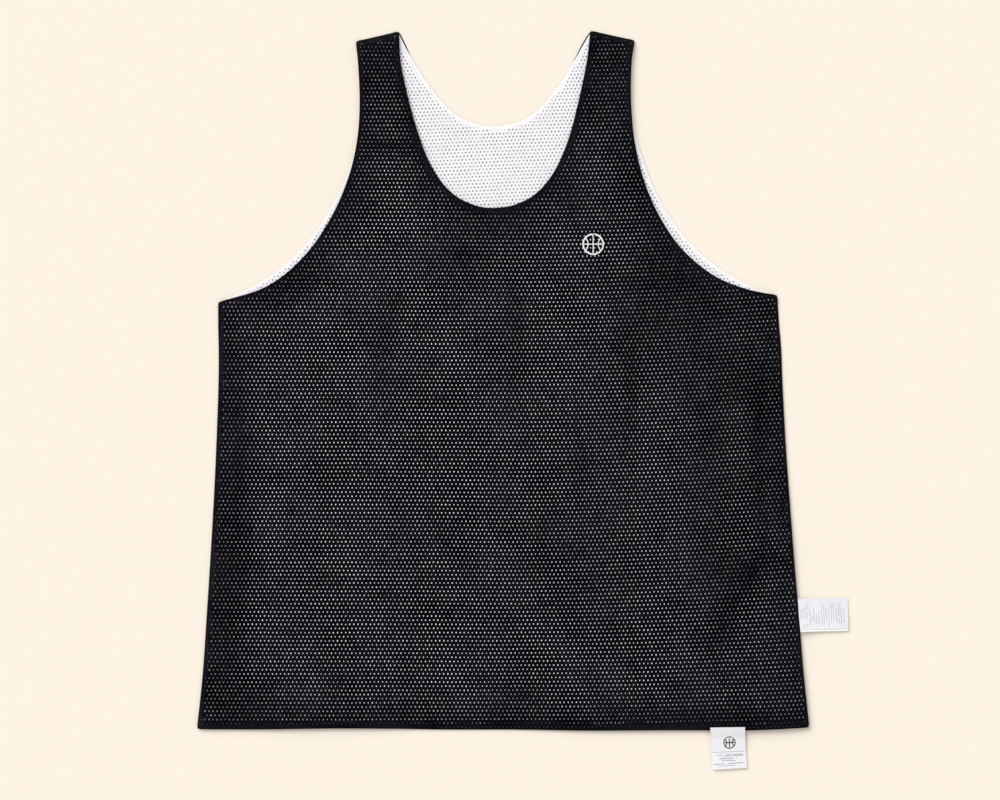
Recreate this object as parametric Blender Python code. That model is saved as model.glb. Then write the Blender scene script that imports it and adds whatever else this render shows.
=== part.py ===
"""A reversible sleeveless basketball jersey, laid flat on its back.

Two mesh bodies, black outside and white inside, are bagged out so that every edge is self-finished.
Each body has a front and a back panel. Laid flat, the four panels lie on each other: black back,
white back, white front, black front. The black front rolls down to the black back along the side and
shoulder seams, and lies closed on it along the open hem, so it covers the white panels there. At the
neck and the armholes the front pair and the back pair end separately, so the white of the back shows
inside the neck and along the lower armholes. A care label stands out of the right side seam, and a
tab is sewn over the hem.

+X runs to the viewer's right, +Y towards the shoulders, +Z up. The origin lies on the resting plane,
on the body's centre line, half-way up the body. The tables hold millimetres: distances from the
centre line and heights above the hem.
"""

import math
from collections import namedtuple

import bmesh
import bpy
import numpy as np
from mathutils import Vector
from mathutils.geometry import delaunay_2d_cdt

MM = 0.001

# The four panels
BODY_LENGTH = 760.0
WALL = 1.0
LAYER_GAP = 0.3
LAYER_PITCH = WALL + LAYER_GAP
EDGE_ROLL_WIDTH = 7.0
LEFT_SIDE_ROLL_WIDTH = 5.8
RIGHT_SIDE_ROLL_WIDTH = 3.4
FRONT_LINING_TRIM = 1.2
BACK_LINING_EDGE_TRIM = 9.0
BACK_SHELL_TRIM = 0.8
BACK_SHELL_EDGE_TRIM = 0.4
NECK_TURN_HEIGHT = 731.0
NECK_TURN_WIDTH = 2.2

# How finely the cloth is divided
EDGE_STEP = 12.0
SEAM_STEP = 22.0
CLOTH_STEP = 26.0
FOLD_FADE = 45.0

# The two labels
TAPE = 1.0
CARE_LABEL_LENGTH = 52.4
CARE_LABEL_WIDTH = 36.2
CARE_LABEL_HEIGHT = 123.4
CARE_LABEL_TILT = math.radians(0.9)
CARE_LABEL_ROOT_HEIGHT = 1.2
HEM_LABEL_WIDTH = 38.0
HEM_LABEL_LENGTH = 45.6
HEM_LABEL_CENTRE = 251.4
HEM_LABEL_OVERLAP = 3.2
HEM_LABEL_TILT = math.radians(3.4)
LABEL_DROP = 9.0

# Along these edges the black front meets the black back
CLOSED_EDGES = ("hem", "side", "shoulder")

# Where edges meet
Corner = namedtuple("Corner", "across height")
HEM_LEFT = Corner(-327.4, -0.9)
HEM_RIGHT = Corner(340.6, 1.2)
UNDERARM_LEFT = Corner(-304.4, 465.2)
UNDERARM_RIGHT = Corner(305.9, 473.0)
SHOULDER_TIP_LEFT = Corner(-154.1, 749.9)
SHOULDER_TIP_RIGHT = Corner(150.6, 751.0)
SHOULDER_NECK_LEFT = Corner(-107.0, 760.9)
SHOULDER_NECK_RIGHT = Corner(102.0, 761.6)
FRONT_NECK_LOW = Corner(-5.5, 567.8)
BACK_NECK_LOW = Corner(-5.5, 656.8)

# The hem wavers a little between its corners
HemStation = namedtuple("HemStation", "across height")
HEM = (
    HemStation(-265.0, -1.2),
    HemStation(-205.0, -0.3),
    HemStation(-165.0, 0.0),
    HemStation(-110.0, -0.5),
    HemStation(-60.0, -1.4),
    HemStation(20.0, -1.5),
    HemStation(100.0, -2.4),
    HemStation(180.0, -2.0),
    HemStation(265.0, -2.1),
    HemStation(300.0, -1.0),
)

# The side seams widen from the underarm to the hem
SideStation = namedtuple("SideStation", "height left right")
SIDES = (
    SideStation(60.0, 321.1, 334.4),
    SideStation(120.0, 317.0, 329.7),
    SideStation(185.0, 312.9, 324.0),
    SideStation(250.0, 309.1, 319.2),
    SideStation(315.0, 306.1, 314.7),
    SideStation(380.0, 303.9, 311.4),
    SideStation(415.0, 303.8, 310.2),
    SideStation(440.0, 304.3, 308.0),
)

# The back armhole follows the front's down the strap and stands outside it below
ArmholeStation = namedtuple("ArmholeStation", "height front_left front_right back_left back_right")
ARMHOLES = (
    ArmholeStation(730.0, 151.8, 147.1, 151.0, 146.2),
    ArmholeStation(695.0, 149.9, 146.0, 148.9, 145.1),
    ArmholeStation(668.0, 150.1, 147.1, 149.3, 146.8),
    ArmholeStation(642.0, 152.5, 149.8, 152.4, 152.8),
    ArmholeStation(616.0, 157.7, 155.0, 158.8, 161.0),
    ArmholeStation(590.0, 166.0, 163.0, 169.4, 171.0),
    ArmholeStation(564.0, 177.5, 174.4, 183.4, 184.6),
    ArmholeStation(538.0, 192.8, 190.0, 201.0, 203.3),
    ArmholeStation(520.0, 206.2, 204.6, 216.0, 220.8),
    ArmholeStation(503.0, 222.7, 223.8, 234.4, 241.0),
    ArmholeStation(490.0, 238.7, 244.0, 252.6, 262.0),
    ArmholeStation(478.0, 260.6, 277.2, 274.6, 287.5),
)

# The necklines, from the shoulders down
NeckStation = namedtuple("NeckStation", "height left right")
FRONT_NECK = (
    NeckStation(730.0, 105.5, 98.4),
    NeckStation(704.0, 100.7, 93.3),
    NeckStation(677.5, 94.4, 87.4),
    NeckStation(651.0, 86.6, 80.5),
    NeckStation(625.0, 77.1, 71.2),
    NeckStation(607.5, 68.2, 62.4),
    NeckStation(590.0, 55.2, 49.4),
    NeckStation(578.0, 40.4, 34.5),
    NeckStation(571.0, 25.0, 18.4),
)
BACK_NECK = (
    NeckStation(746.0, 99.4, 92.6),
    NeckStation(731.0, 92.6, 84.8),
    NeckStation(712.0, 81.2, 74.8),
    NeckStation(692.0, 66.8, 60.2),
    NeckStation(676.0, 52.4, 45.4),
    NeckStation(664.5, 36.4, 30.0),
    NeckStation(658.8, 20.4, 12.6),
)

# The front's folds: soft troughs (a negative rise) and low billows between them. Each runs from a
# start to an end, bows sideways in the middle, and has the spread of a bell curve.
Fold = namedtuple("Fold", "from_across from_height to_across to_height bow spread rise")
FOLDS = (
    Fold(-190.0, 560.0, -120.0, 390.0, 20.0, 48.0, 2.4),
    Fold(-40.0, 480.0, 30.0, 250.0, -16.0, 55.0, 2.6),
    Fold(60.0, 520.0, 150.0, 430.0, 10.0, 40.0, 2.0),
    Fold(-250.0, 330.0, -170.0, 120.0, 18.0, 50.0, 2.4),
    Fold(-90.0, 190.0, 90.0, 90.0, 14.0, 46.0, 2.2),
    Fold(170.0, 330.0, 230.0, 200.0, -12.0, 44.0, 2.4),
    Fold(255.0, 120.0, 290.0, 50.0, 6.0, 34.0, 1.8),
    Fold(-124.0, 655.0, -128.0, 600.0, 0.0, 24.0, 1.2),
    Fold(66.0, 600.0, 134.0, 552.0, 5.0, 20.0, -1.4),
    Fold(22.0, 480.0, 18.0, 380.0, 4.0, 22.0, -1.6),
    Fold(-104.0, 460.0, -128.0, 350.0, -8.0, 24.0, -1.4),
    Fold(282.0, 186.0, 234.0, 84.0, -12.0, 22.0, -2.2),
    Fold(-78.0, 246.0, -22.0, 168.0, -6.0, 22.0, -1.8),
    Fold(140.0, 400.0, 152.0, 318.0, 4.0, 20.0, -1.4),
    Fold(90.0, 300.0, 52.0, 170.0, 8.0, 24.0, -1.4),
    Fold(46.0, 110.0, 134.0, 14.0, 10.0, 24.0, -1.6),
)


# ---------------------------------------------------------------- outlines

def smooth_run(stations, step):
    """Points about a step apart along a smooth curve through the stations, without the last one."""
    points = [Vector(station) for station in stations]
    before = [2 * points[0] - points[1]] + points[:-1]
    after = points[1:] + [2 * points[-1] - points[-2]]
    slopes = [(b - a) / max((b - a).length, 1.0) for a, b in zip(before, after)]
    run = []
    for index in range(len(points) - 1):
        start, end = points[index], points[index + 1]
        length = (end - start).length
        pieces = max(1, round(length / step))
        for piece in range(pieces):
            t = piece / pieces
            weight_start = 2 * t**3 - 3 * t**2 + 1
            weight_end = 3 * t**2 - 2 * t**3
            pull_start = (t**3 - 2 * t**2 + t) * length
            pull_end = (t**3 - t**2) * length
            run.append(
                start * weight_start
                + end * weight_end
                + slopes[index] * pull_start
                + slopes[index + 1] * pull_end
            )
    return run


def side_run(corner_low, corner_high, sign, column):
    """The stations of one side seam, from the hem up."""
    stations = [(sign * getattr(row, column), row.height) for row in SIDES]
    return [corner_low, *stations, corner_high]


def armhole_run(underarm, tip, sign, column):
    """The stations of one armhole, from the underarm up to the shoulder tip."""
    stations = [(sign * getattr(row, column), row.height) for row in reversed(ARMHOLES)]
    return [underarm, *stations, tip]


def neck_run(table, low):
    """The stations of a neckline, from the right shoulder round to the left."""
    right = [(row.right, row.height) for row in table]
    left = [(-row.left, row.height) for row in reversed(table)]
    return [SHOULDER_NECK_RIGHT, *right, low, *left, SHOULDER_NECK_LEFT]


def panel_outline(armhole_left, armhole_right, neck_table, neck_low):
    """A panel's edge as points, anticlockwise from the hem's left end, and each stretch's kind."""
    right_armhole = armhole_run(UNDERARM_RIGHT, SHOULDER_TIP_RIGHT, 1, armhole_right)
    left_armhole = armhole_run(UNDERARM_LEFT, SHOULDER_TIP_LEFT, -1, armhole_left)
    edges = (
        ("hem", [HEM_LEFT, *HEM, HEM_RIGHT], SEAM_STEP),
        ("side", side_run(HEM_RIGHT, UNDERARM_RIGHT, 1, "right"), SEAM_STEP),
        ("armhole", right_armhole, EDGE_STEP),
        ("shoulder", [SHOULDER_TIP_RIGHT, SHOULDER_NECK_RIGHT], EDGE_STEP),
        ("neck", neck_run(neck_table, neck_low), EDGE_STEP),
        ("shoulder", [SHOULDER_NECK_LEFT, SHOULDER_TIP_LEFT], EDGE_STEP),
        ("armhole", left_armhole[::-1], EDGE_STEP),
        ("side", side_run(HEM_LEFT, UNDERARM_LEFT, -1, "left")[::-1], SEAM_STEP),
    )
    points, kinds = [], []
    for kind, stations, step in edges:
        run = smooth_run(stations, step)
        points += run
        kinds += [kind] * len(run)
    return points, kinds


def trimmed(points, trims):
    """The outline moved inwards, each stretch by its own trim, with mitred corners."""
    moved = []
    for index, point in enumerate(points):
        trim_before, trim_after = trims[index - 1], trims[index]
        before = (point - points[index - 1]).normalized()
        after = (points[(index + 1) % len(points)] - point).normalized()
        inward_before = Vector((-before.y, before.x))
        inward_after = Vector((-after.y, after.x))
        turn = before.x * after.y - before.y * after.x
        if abs(turn) < math.sin(math.radians(25)):
            inward = (inward_before + inward_after).normalized()
            moved.append(point + inward * (trim_before + trim_after) / 2)
        else:
            across = trim_before * inward_after.y - trim_after * inward_before.y
            along = trim_after * inward_before.x - trim_before * inward_after.x
            moved.append(point + Vector((across, along)) / turn)
    return moved


def to_plan(points):
    """Distances across and heights above the hem, as X and Y in the frame."""
    return [Vector((point.x, point.y - BODY_LENGTH / 2)) for point in points]


# ---------------------------------------------------------------- cloth heights

def distance_to_loop(points, loop):
    """How far each point is from a closed line."""
    nearest = np.full(len(points), np.inf)
    places = np.array([point[:] for point in points])
    for index, start in enumerate(loop):
        a = np.array(start[:])
        along = np.array(loop[(index + 1) % len(loop)][:]) - a
        t = np.clip((places - a) @ along / (along @ along), 0, 1)
        nearest = np.minimum(nearest, np.linalg.norm(places - a - t[:, None] * along, axis=1))
    return nearest


def fold_rise(points, loop):
    """How far the folds lift the front above its lowest lie. It is nothing at the edges."""
    places = np.array([point[:] for point in points])
    rise = np.zeros(len(points))
    for fold in FOLDS:
        start = np.array((fold.from_across, fold.from_height - BODY_LENGTH / 2))
        end = np.array((fold.to_across, fold.to_height - BODY_LENGTH / 2))
        length = np.linalg.norm(end - start)
        along = (end - start) / length
        across = np.array((-along[1], along[0]))
        t = np.clip((places - start) @ along / length, 0, 1)
        beyond = (places - start) @ along - t * length
        aside = (places - start) @ across - fold.bow * 4 * t * (1 - t)
        rise += fold.rise * np.exp(-(beyond**2 + aside**2) / fold.spread**2)
    fade = np.clip(distance_to_loop(points, loop) / FOLD_FADE, 0, 1)
    return np.maximum(rise, 0) * fade * fade * (3 - 2 * fade)


# ---------------------------------------------------------------- meshes

def cloth_grid(loop):
    """Points on staggered rows, clear of the loop."""
    low = [min(point[axis] for point in loop) for axis in (0, 1)]
    high = [max(point[axis] for point in loop) for axis in (0, 1)]
    row_step = CLOTH_STEP * math.sqrt(3) / 2
    rows = int((high[1] - low[1]) / row_step) + 1
    columns = int((high[0] - low[0]) / CLOTH_STEP) + 2
    points = [
        Vector((low[0] + (column + row % 2 / 2) * CLOTH_STEP, low[1] + row * row_step))
        for row in range(rows)
        for column in range(columns)
    ]
    clear = distance_to_loop(points, loop) > CLOTH_STEP * 0.55
    return [point for point, keep in zip(points, clear) if keep and inside(point, loop)]


def inside(point, loop):
    """Whether a point lies within a closed line."""
    crossings = 0
    for index, end in enumerate(loop):
        start = loop[index - 1]
        if (start.y > point.y) != (end.y > point.y):
            crossing = start.x + (point.y - start.y) / (end.y - start.y) * (end.x - start.x)
            crossings += point.x < crossing
    return crossings % 2 == 1


def triangulated(loop, inner_points):
    """Triangles over the loop and the points inside it."""
    count = len(loop)
    edges = [(index, (index + 1) % count) for index in range(count)]
    points = list(loop) + list(inner_points)
    found, _, triangles, _, _, _ = delaunay_2d_cdt(points, edges, [], 1, 1e-4)
    assert len(found) == len(points)
    return points, [tuple(triangle) for triangle in triangles]


def material(name, colour, roughness):
    """A plain finish."""
    made = bpy.data.materials.new(name)
    made.use_nodes = True
    shader = made.node_tree.nodes["Principled BSDF"]
    shader.inputs["Base Color"].default_value = (*colour, 1)
    shader.inputs["Roughness"].default_value = roughness
    return made


def wall(name, points, triangles, rim, bottoms, tops, finish):
    """A closed solid between two heights at each plan point, with upright faces along its rim."""
    mesh = bmesh.new()
    lower = [mesh.verts.new(Vector((p.x, p.y, z)) * MM) for p, z in zip(points, bottoms)]
    upper = [mesh.verts.new(Vector((p.x, p.y, z)) * MM) for p, z in zip(points, tops)]
    for a, b, c in triangles:
        mesh.faces.new((upper[a], upper[b], upper[c]))
        mesh.faces.new((lower[c], lower[b], lower[a]))
    for index, here in enumerate(rim):
        after = rim[(index + 1) % len(rim)]
        mesh.faces.new((lower[here], lower[after], upper[after], upper[here]))
    bmesh.ops.triangulate(mesh, faces=mesh.faces[:])
    bmesh.ops.recalc_face_normals(mesh, faces=mesh.faces[:])
    data = bpy.data.meshes.new(name)
    mesh.to_mesh(data)
    mesh.free()
    data.materials.append(finish)
    piece = bpy.data.objects.new(name, data)
    bpy.context.scene.collection.objects.link(piece)


# ---------------------------------------------------------------- panels

def flat_panel(name, loop, layer, finish):
    """A back panel: flat, at its layer's height."""
    points, triangles = triangulated(loop, [])
    bottom = layer * LAYER_PITCH
    count = len(points)
    wall(name, points, triangles, range(count), [bottom] * count, [bottom + WALL] * count, finish)


def back_panels(shell_finish, lining_finish):
    """The black back lies flat on the surface, and the white back lies on it."""
    outline, kinds = panel_outline("back_left", "back_right", BACK_NECK, BACK_NECK_LOW)
    outline = to_plan(outline)
    turned = [
        kind == "neck" and point.y + BODY_LENGTH / 2 > NECK_TURN_HEIGHT
        for point, kind in zip(outline, kinds)
    ]
    shell_trims, lining_trims = [], []
    for kind, turn in zip(kinds, turned):
        if kind in CLOSED_EDGES:
            shell_trims.append(BACK_SHELL_EDGE_TRIM)
            lining_trims.append(BACK_LINING_EDGE_TRIM)
        else:
            shell_trims.append(0.0 if turn else BACK_SHELL_TRIM)
            lining_trims.append(NECK_TURN_WIDTH if turn else 0.0)
    flat_panel("outer_back", trimmed(outline, shell_trims), 0, shell_finish)
    flat_panel("inner_back", trimmed(outline, lining_trims), 1, lining_finish)


def front_panels(shell_finish, lining_finish):
    """The white front, and the black front that lies on it and rolls down to the back at its seams."""
    outline, kinds = panel_outline("front_left", "front_right", FRONT_NECK, FRONT_NECK_LOW)
    outline = to_plan(outline)
    trims = []
    for kind, point in zip(kinds, outline):
        if kind == "side":
            trims.append(RIGHT_SIDE_ROLL_WIDTH if point.x > 0 else LEFT_SIDE_ROLL_WIDTH)
        else:
            trims.append(EDGE_ROLL_WIDTH if kind in CLOSED_EDGES else FRONT_LINING_TRIM)
    lining_loop = trimmed(outline, trims)
    points, triangles = triangulated(lining_loop, cloth_grid(lining_loop))
    rise = fold_rise(points, lining_loop)
    rim = range(len(lining_loop))

    bottoms = 2 * LAYER_PITCH + rise
    wall("inner_front", points, triangles, rim, bottoms, bottoms + WALL, lining_finish)

    count = len(points)
    loop_size = len(outline)
    rolled = [bool({kinds[index - 1], kinds[index]} & set(CLOSED_EDGES)) for index in range(loop_size)]
    rim_bottoms = [LAYER_PITCH if down else 3 * LAYER_PITCH for down in rolled]
    shell_bottoms = np.concatenate([3 * LAYER_PITCH + rise, rim_bottoms])
    band = []
    for index in range(loop_size):
        after = (index + 1) % loop_size
        band.append((count + index, count + after, after))
        band.append((count + index, after, index))
    shell_points = list(points) + outline
    shell_rim = range(count, count + loop_size)
    shell_tops = shell_bottoms + WALL
    wall("outer_front", shell_points, triangles + band, shell_rim, shell_bottoms, shell_tops, shell_finish)


# ---------------------------------------------------------------- labels

def tape(name, root, direction, width, profile, finish):
    """A strip of label tape. The profile gives its underside's height at distances from its root."""
    side = Vector((-direction.y, direction.x)) * width / 2
    points, bottoms = [], []
    for distance, height in profile:
        centre = root + direction * distance
        points += [centre - side, centre + side]
        bottoms += [height, height]
    last = len(profile) - 1
    triangles = []
    for step in range(last):
        near, far = 2 * step, 2 * step + 2
        triangles += [(near, far, far + 1), (near, far + 1, near + 1)]
    rim = [*range(0, 2 * last + 1, 2), *range(2 * last + 1, 0, -2)]
    wall(name, points, triangles, rim, bottoms, [height + TAPE for height in bottoms], finish)


def care_label(finish):
    """The care label leaves the right side seam and drops to the surface beside it."""
    seam = smooth_run(side_run(HEM_RIGHT, UNDERARM_RIGHT, 1, "right"), 1.0)
    edge = [point.x for point in seam if abs(point.y - CARE_LABEL_HEIGHT) < CARE_LABEL_WIDTH / 2 + 1]
    root = Vector((max(edge) + LAYER_GAP, CARE_LABEL_HEIGHT - BODY_LENGTH / 2))
    direction = Vector((math.cos(CARE_LABEL_TILT), math.sin(CARE_LABEL_TILT)))
    profile = (
        (0.0, CARE_LABEL_ROOT_HEIGHT),
        (LABEL_DROP / 2, CARE_LABEL_ROOT_HEIGHT / 2),
        (LABEL_DROP, 0.0),
        (CARE_LABEL_LENGTH, 0.0),
    )
    tape("care_label", root, direction, CARE_LABEL_WIDTH, profile, finish)


def hem_label(finish):
    """The hem tab is sewn over the hem's rolled edge and hangs down onto the surface."""
    direction = Vector((math.sin(HEM_LABEL_TILT), -math.cos(HEM_LABEL_TILT)))
    hem = smooth_run([HEM_LEFT, *HEM, HEM_RIGHT], 1.0)
    hem_height = min(hem, key=lambda point: abs(point.x - HEM_LABEL_CENTRE)).y
    root = Vector((HEM_LABEL_CENTRE, hem_height + HEM_LABEL_OVERLAP - BODY_LENGTH / 2))
    roll_slope = 2 * LAYER_PITCH / EDGE_ROLL_WIDTH
    corner_lead = HEM_LABEL_WIDTH / 2 * math.sin(HEM_LABEL_TILT)
    over_hem = LAYER_PITCH + WALL + LAYER_GAP + corner_lead * roll_slope
    profile = (
        (0.0, over_hem + HEM_LABEL_OVERLAP * roll_slope),
        (HEM_LABEL_OVERLAP, over_hem),
        (HEM_LABEL_OVERLAP + LABEL_DROP / 2, over_hem / 2),
        (HEM_LABEL_OVERLAP + LABEL_DROP, 0.0),
        (HEM_LABEL_LENGTH, 0.0),
    )
    tape("hem_label", root, direction, HEM_LABEL_WIDTH, profile, finish)


for old in list(bpy.data.objects):
    bpy.data.objects.remove(old)

back_panels(
    material("black_mesh_back", (0.012, 0.012, 0.014), 0.72),
    material("white_mesh_back", (0.82, 0.82, 0.84), 0.78),
)
front_panels(
    material("black_mesh_front", (0.012, 0.012, 0.014), 0.72),
    material("white_mesh_front", (0.82, 0.82, 0.84), 0.78),
)
care_label(material("care_label_tape", (0.86, 0.86, 0.87), 0.5))
hem_label(material("hem_label_tape", (0.84, 0.84, 0.86), 0.55))
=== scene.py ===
import math
from collections import namedtuple
from functools import partial

import bpy
import numpy as np
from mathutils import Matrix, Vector, noise
from mathutils.bvhtree import BVHTree
from mathutils.geometry import delaunay_2d_cdt
from mathutils.kdtree import KDTree


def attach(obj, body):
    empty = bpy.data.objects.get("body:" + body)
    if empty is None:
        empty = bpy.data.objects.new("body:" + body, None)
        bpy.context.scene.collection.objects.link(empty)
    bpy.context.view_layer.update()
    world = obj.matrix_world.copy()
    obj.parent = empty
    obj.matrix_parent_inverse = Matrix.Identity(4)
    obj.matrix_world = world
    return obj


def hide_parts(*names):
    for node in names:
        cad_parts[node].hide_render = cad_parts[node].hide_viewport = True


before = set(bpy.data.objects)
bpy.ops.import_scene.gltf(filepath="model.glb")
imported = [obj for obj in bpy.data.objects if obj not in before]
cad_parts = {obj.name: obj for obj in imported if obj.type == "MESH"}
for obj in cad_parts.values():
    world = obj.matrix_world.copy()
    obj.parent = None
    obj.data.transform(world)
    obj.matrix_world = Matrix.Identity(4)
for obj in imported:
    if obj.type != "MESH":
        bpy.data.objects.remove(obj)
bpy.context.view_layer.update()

# ---------------------------------------------------------------- the black back
# The back of the black body. It is cut from a polyester micro mesh, a thin knit with staggered rows
# of small eyelets, and lies face down on the surface. Its edges are turned in, because the body is
# bagged out with its white lining and has no binding.

MM = 0.001
BODY_LENGTH = 760

# The outline: its stretches from the hem's left end, the step along it and its corners
STRETCHES = ("hem", "side", "armhole", "shoulder", "neck", "shoulder", "armhole", "side")
FACING_UP = 0.2
KEY_DECIMALS = 5
RIM_STEP = 3.5
CORNER_TURN = math.radians(32)
CORNER_EASE = 0.4
SOFTENED_STEPS = 7
NOISE_GAIN = 1.6

# The eyelets' rims, and where the rows change, in millimetres from the piece's middle
EYELET_SIDES = 6
EYELET_CLEARANCE = 0.35
EYELET_RADIUS_SHARE = 0.55
EYELET_GROWTH = (0.84, 1.12)
EYELET_TURN = (-0.42, 0.18)
GRID_MARGIN = 14
ROWS_COUNTED_FROM = -10000
COLUMN_LEEWAY = 0.25
SHOULDER_HEIGHT = 380
HEM_HEIGHTS = (-400, -200)
HEM_LIFT_SHARE = 0.45
SWAY_SIZE = 130

# The cloth between the eyelets, and its turned-in edge
FILLER_RINGS = (1.2, 2.6, 4.2, 6.0)
FILLER_LEEWAY = 0.96
FILLER_CLEARANCE = 1.7
KNIT_TOLERANCE = 1e-9
TURN_STEPS = 4
UV_MARGIN = 1.1
ALLOWANCE_UNEVENNESS = 0.35
ALLOWANCE_RIPPLE = 22.0
LEFT_SIDE_SHARE = 0.5
BLACK_ALLOWANCES = {"hem": 8.6, "side": 5.0, "armhole": 4.0, "shoulder": 5.0, "neck": 7.2}
PLAIN_EDGE = 1.6
# How strongly painted shade darkens the black panels' very edge, their outline and rolled rim
EDGE_SHADE = 0.6

# The back's lie, and the cloth's finish
BLACK_BACK_LEVEL = 0.35
BLACK_BACK_SWELL = 0.4
SWELL_WIDTH = 9.0
LAYER_DROP = 0.3
TONE_SPREAD = (0.38, 0.62)
GLOSS_SPREAD = (0.3, 0.7)
GLOSS_DRIFT = 0.06
SHEEN_ROUGHNESS = 0.45
GRAIN_STRENGTH = 0.6

# How far the turned-in allowance's two rows reach, in shares of its width, and how far they lie
# behind the panel
ALLOWANCE_ROWS = ((0.4, 0.12), (1.0, 0.05))

# Distances in millimetres, but the tilt in degrees and the lift of the rows in 1/m. The lattice
# narrows towards the shoulders to the given share of its pitch.
Lattice = namedtuple("Lattice", (
    "pitch row_pitch eyelet_width eyelet_height row_tilt row_lift shoulder_share sway unevenness seed"
))
BLACK_BACK_MESH = Lattice(4.45, 4.5, 1.25, 1.74, 0.4, 0.0, 0.95, 1.4, 0.12, 5)

# Soft round rises, in millimetres from the centre line and above the hem. These are where the body's
# edge stands a little off the surface.
Rise = namedtuple("Rise", "across height half_width half_height rise")
RAISED_EDGES = (
    Rise(-313, -4, 34, 34, 1.4),
    Rise(-222, -4, 56, 56, 2.5),
    Rise(-145, -4, 50, 50, 1.9),
    Rise(-20, -4, 60, 60, 0.2),
    Rise(95, -4, 50, 50, 1.4),
    Rise(172, -4, 62, 62, 2.5),
    Rise(300, -4, 58, 58, 4),
    Rise(336, 190, 80, 80, 3),
    Rise(346, 60, 60, 60, 2),
    Rise(312, 330, 50, 50, 1),
    Rise(-322, 90, 60, 60, 0.6),
)


def rim_of(node):
    """A CAD piece's outline, seen from above, anticlockwise from its lower left."""
    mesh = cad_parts[node].data
    mesh.calc_loop_triangles()
    edges = set()
    for triangle in mesh.loop_triangles:
        if triangle.normal.z > FACING_UP:
            corners = [mesh.vertices[index].co for index in triangle.vertices]
            keys = [tuple(round(value, KEY_DECIMALS) for value in corner.xy) for corner in corners]
            edges |= {(keys[0], keys[1]), (keys[1], keys[2]), (keys[2], keys[0])}
    following = {start: end for start, end in edges if (end, start) not in edges}
    start = min(following, key=sum)
    loop = [start]
    while following[loop[-1]] != start:
        loop.append(following[loop[-1]])
    return np.array(loop)


def corners_of(loop):
    """Which points of a closed loop it turns sharply at."""
    before = loop - np.roll(loop, 1, axis=0)
    after = np.roll(loop, -1, axis=0) - loop
    cross = before[:, 0] * after[:, 1] - before[:, 1] * after[:, 0]
    return np.flatnonzero(np.abs(np.arctan2(cross, (before * after).sum(1))) > CORNER_TURN)


def curve_through(stations, step):
    """Points about a step apart on a smooth curve through the stations, without the last one."""
    before = np.vstack([2 * stations[:1] - stations[1:2], stations[:-1]])
    after = np.vstack([stations[1:], 2 * stations[-1:] - stations[-2:-1]])
    slopes = (after - before) / np.linalg.norm(after - before, axis=1)[:, None]
    run = []
    for index, (start, end) in enumerate(zip(stations, stations[1:])):
        length = np.linalg.norm(end - start)
        count = max(1, round(length / step))
        t = (np.arange(count) / count)[:, None]
        run.append(
            start * (2 * t**3 - 3 * t**2 + 1)
            + end * (3 * t**2 - 2 * t**3)
            + slopes[index] * (t**3 - 2 * t**2 + t) * length
            + slopes[index + 1] * (t**3 - t**2) * length
        )
    return np.vstack(run)


def outline_of(node):
    """A panel's outline in short steps, curved between its eight corners, which are turned out a little
    round, and the kind of each step."""
    loop = rim_of(node)
    corners = corners_of(loop)
    assert len(corners) == len(STRETCHES), f"{node} has {len(corners)} corners"
    runs, kinds = [], []
    for kind, first, last in zip(STRETCHES, corners, [*corners[1:], len(loop)]):
        run = curve_through(loop[np.arange(first, last + 1) % len(loop)], RIM_STEP * MM)
        runs.append(run)
        kinds += [kind] * len(run)
    outline = np.vstack(runs)
    firsts = np.cumsum([0] + [len(run) for run in runs[:-1]])
    middles = (outline[firsts - 1] + outline[firsts + 1]) / 2
    outline[firsts] += (middles - outline[firsts]) * CORNER_EASE
    return outline, np.array(kinds)


def outward_of(outline):
    """At each point of an outline, the mitred step that moves both its edges out by one."""
    before = outline - np.roll(outline, 1, axis=0)
    after = np.roll(outline, -1, axis=0) - outline
    normals = []
    for edge in (before, after):
        edge = edge / np.linalg.norm(edge, axis=1)[:, None]
        normals.append(np.column_stack([edge[:, 1], -edge[:, 0]]))
    mitre = normals[0] + normals[1]
    return mitre / (1 + (normals[0] * normals[1]).sum(1))[:, None]


def search_tree(points):
    """For finding the nearest of these points in plan."""
    tree = KDTree(len(points))
    for index, point in enumerate(points):
        tree.insert((*point, 0), index)
    tree.balance()
    return tree


def distance_to_rim(places, outline):
    """How far each place is from an outline, and the outline's nearest point."""
    tree = search_tree(outline)
    nearest = np.array([tree.find((*place, 0))[1] for place in places])
    distance = np.full(len(places), np.inf)
    for shift in (-1, 0):
        start = outline[(nearest + shift) % len(outline)]
        along = outline[(nearest + shift + 1) % len(outline)] - start
        t = np.clip(((places - start) * along).sum(1) / (along * along).sum(1), 0, 1)
        distance = np.minimum(distance, np.linalg.norm(places - start - t[:, None] * along, axis=1))
    return distance, nearest


def ripple(places, size, seed):
    """Smooth unevenness between about -1 and 1, in waves of a size in millimetres."""
    size *= MM
    return np.array([noise.noise((x / size, y / size, seed)) for x, y in places]) * NOISE_GAIN


def eased(t):
    """A share from 0 to 1 with a soft start and end."""
    t = np.clip(t, 0, 1)
    return t * t * (3 - 2 * t)


def inside_share(places, outline, width):
    """0 on an outline, rising softly to 1 at a width in millimetres inside it."""
    return eased(distance_to_rim(places, outline)[0] / (width * MM))


def softened(values):
    """The running mean of values along a closed outline."""
    half = SOFTENED_STEPS // 2
    return sum(np.roll(values, shift) for shift in range(-half, half + 1)) / SOFTENED_STEPS


def allowances_along(outline, kinds, widths, seed):
    """How far the turned-in edge reaches behind a panel at each point of its outline, unevenly. It is
    narrower down the wearer's left side."""
    plain = np.array([widths[kind] for kind in kinds]) * MM
    plain[(kinds == "side") & (outline[:, 0] > 0)] *= LEFT_SIDE_SHARE
    return softened(plain) * (1 + ALLOWANCE_UNEVENNESS * ripple(outline, ALLOWANCE_RIPPLE, seed))


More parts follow.
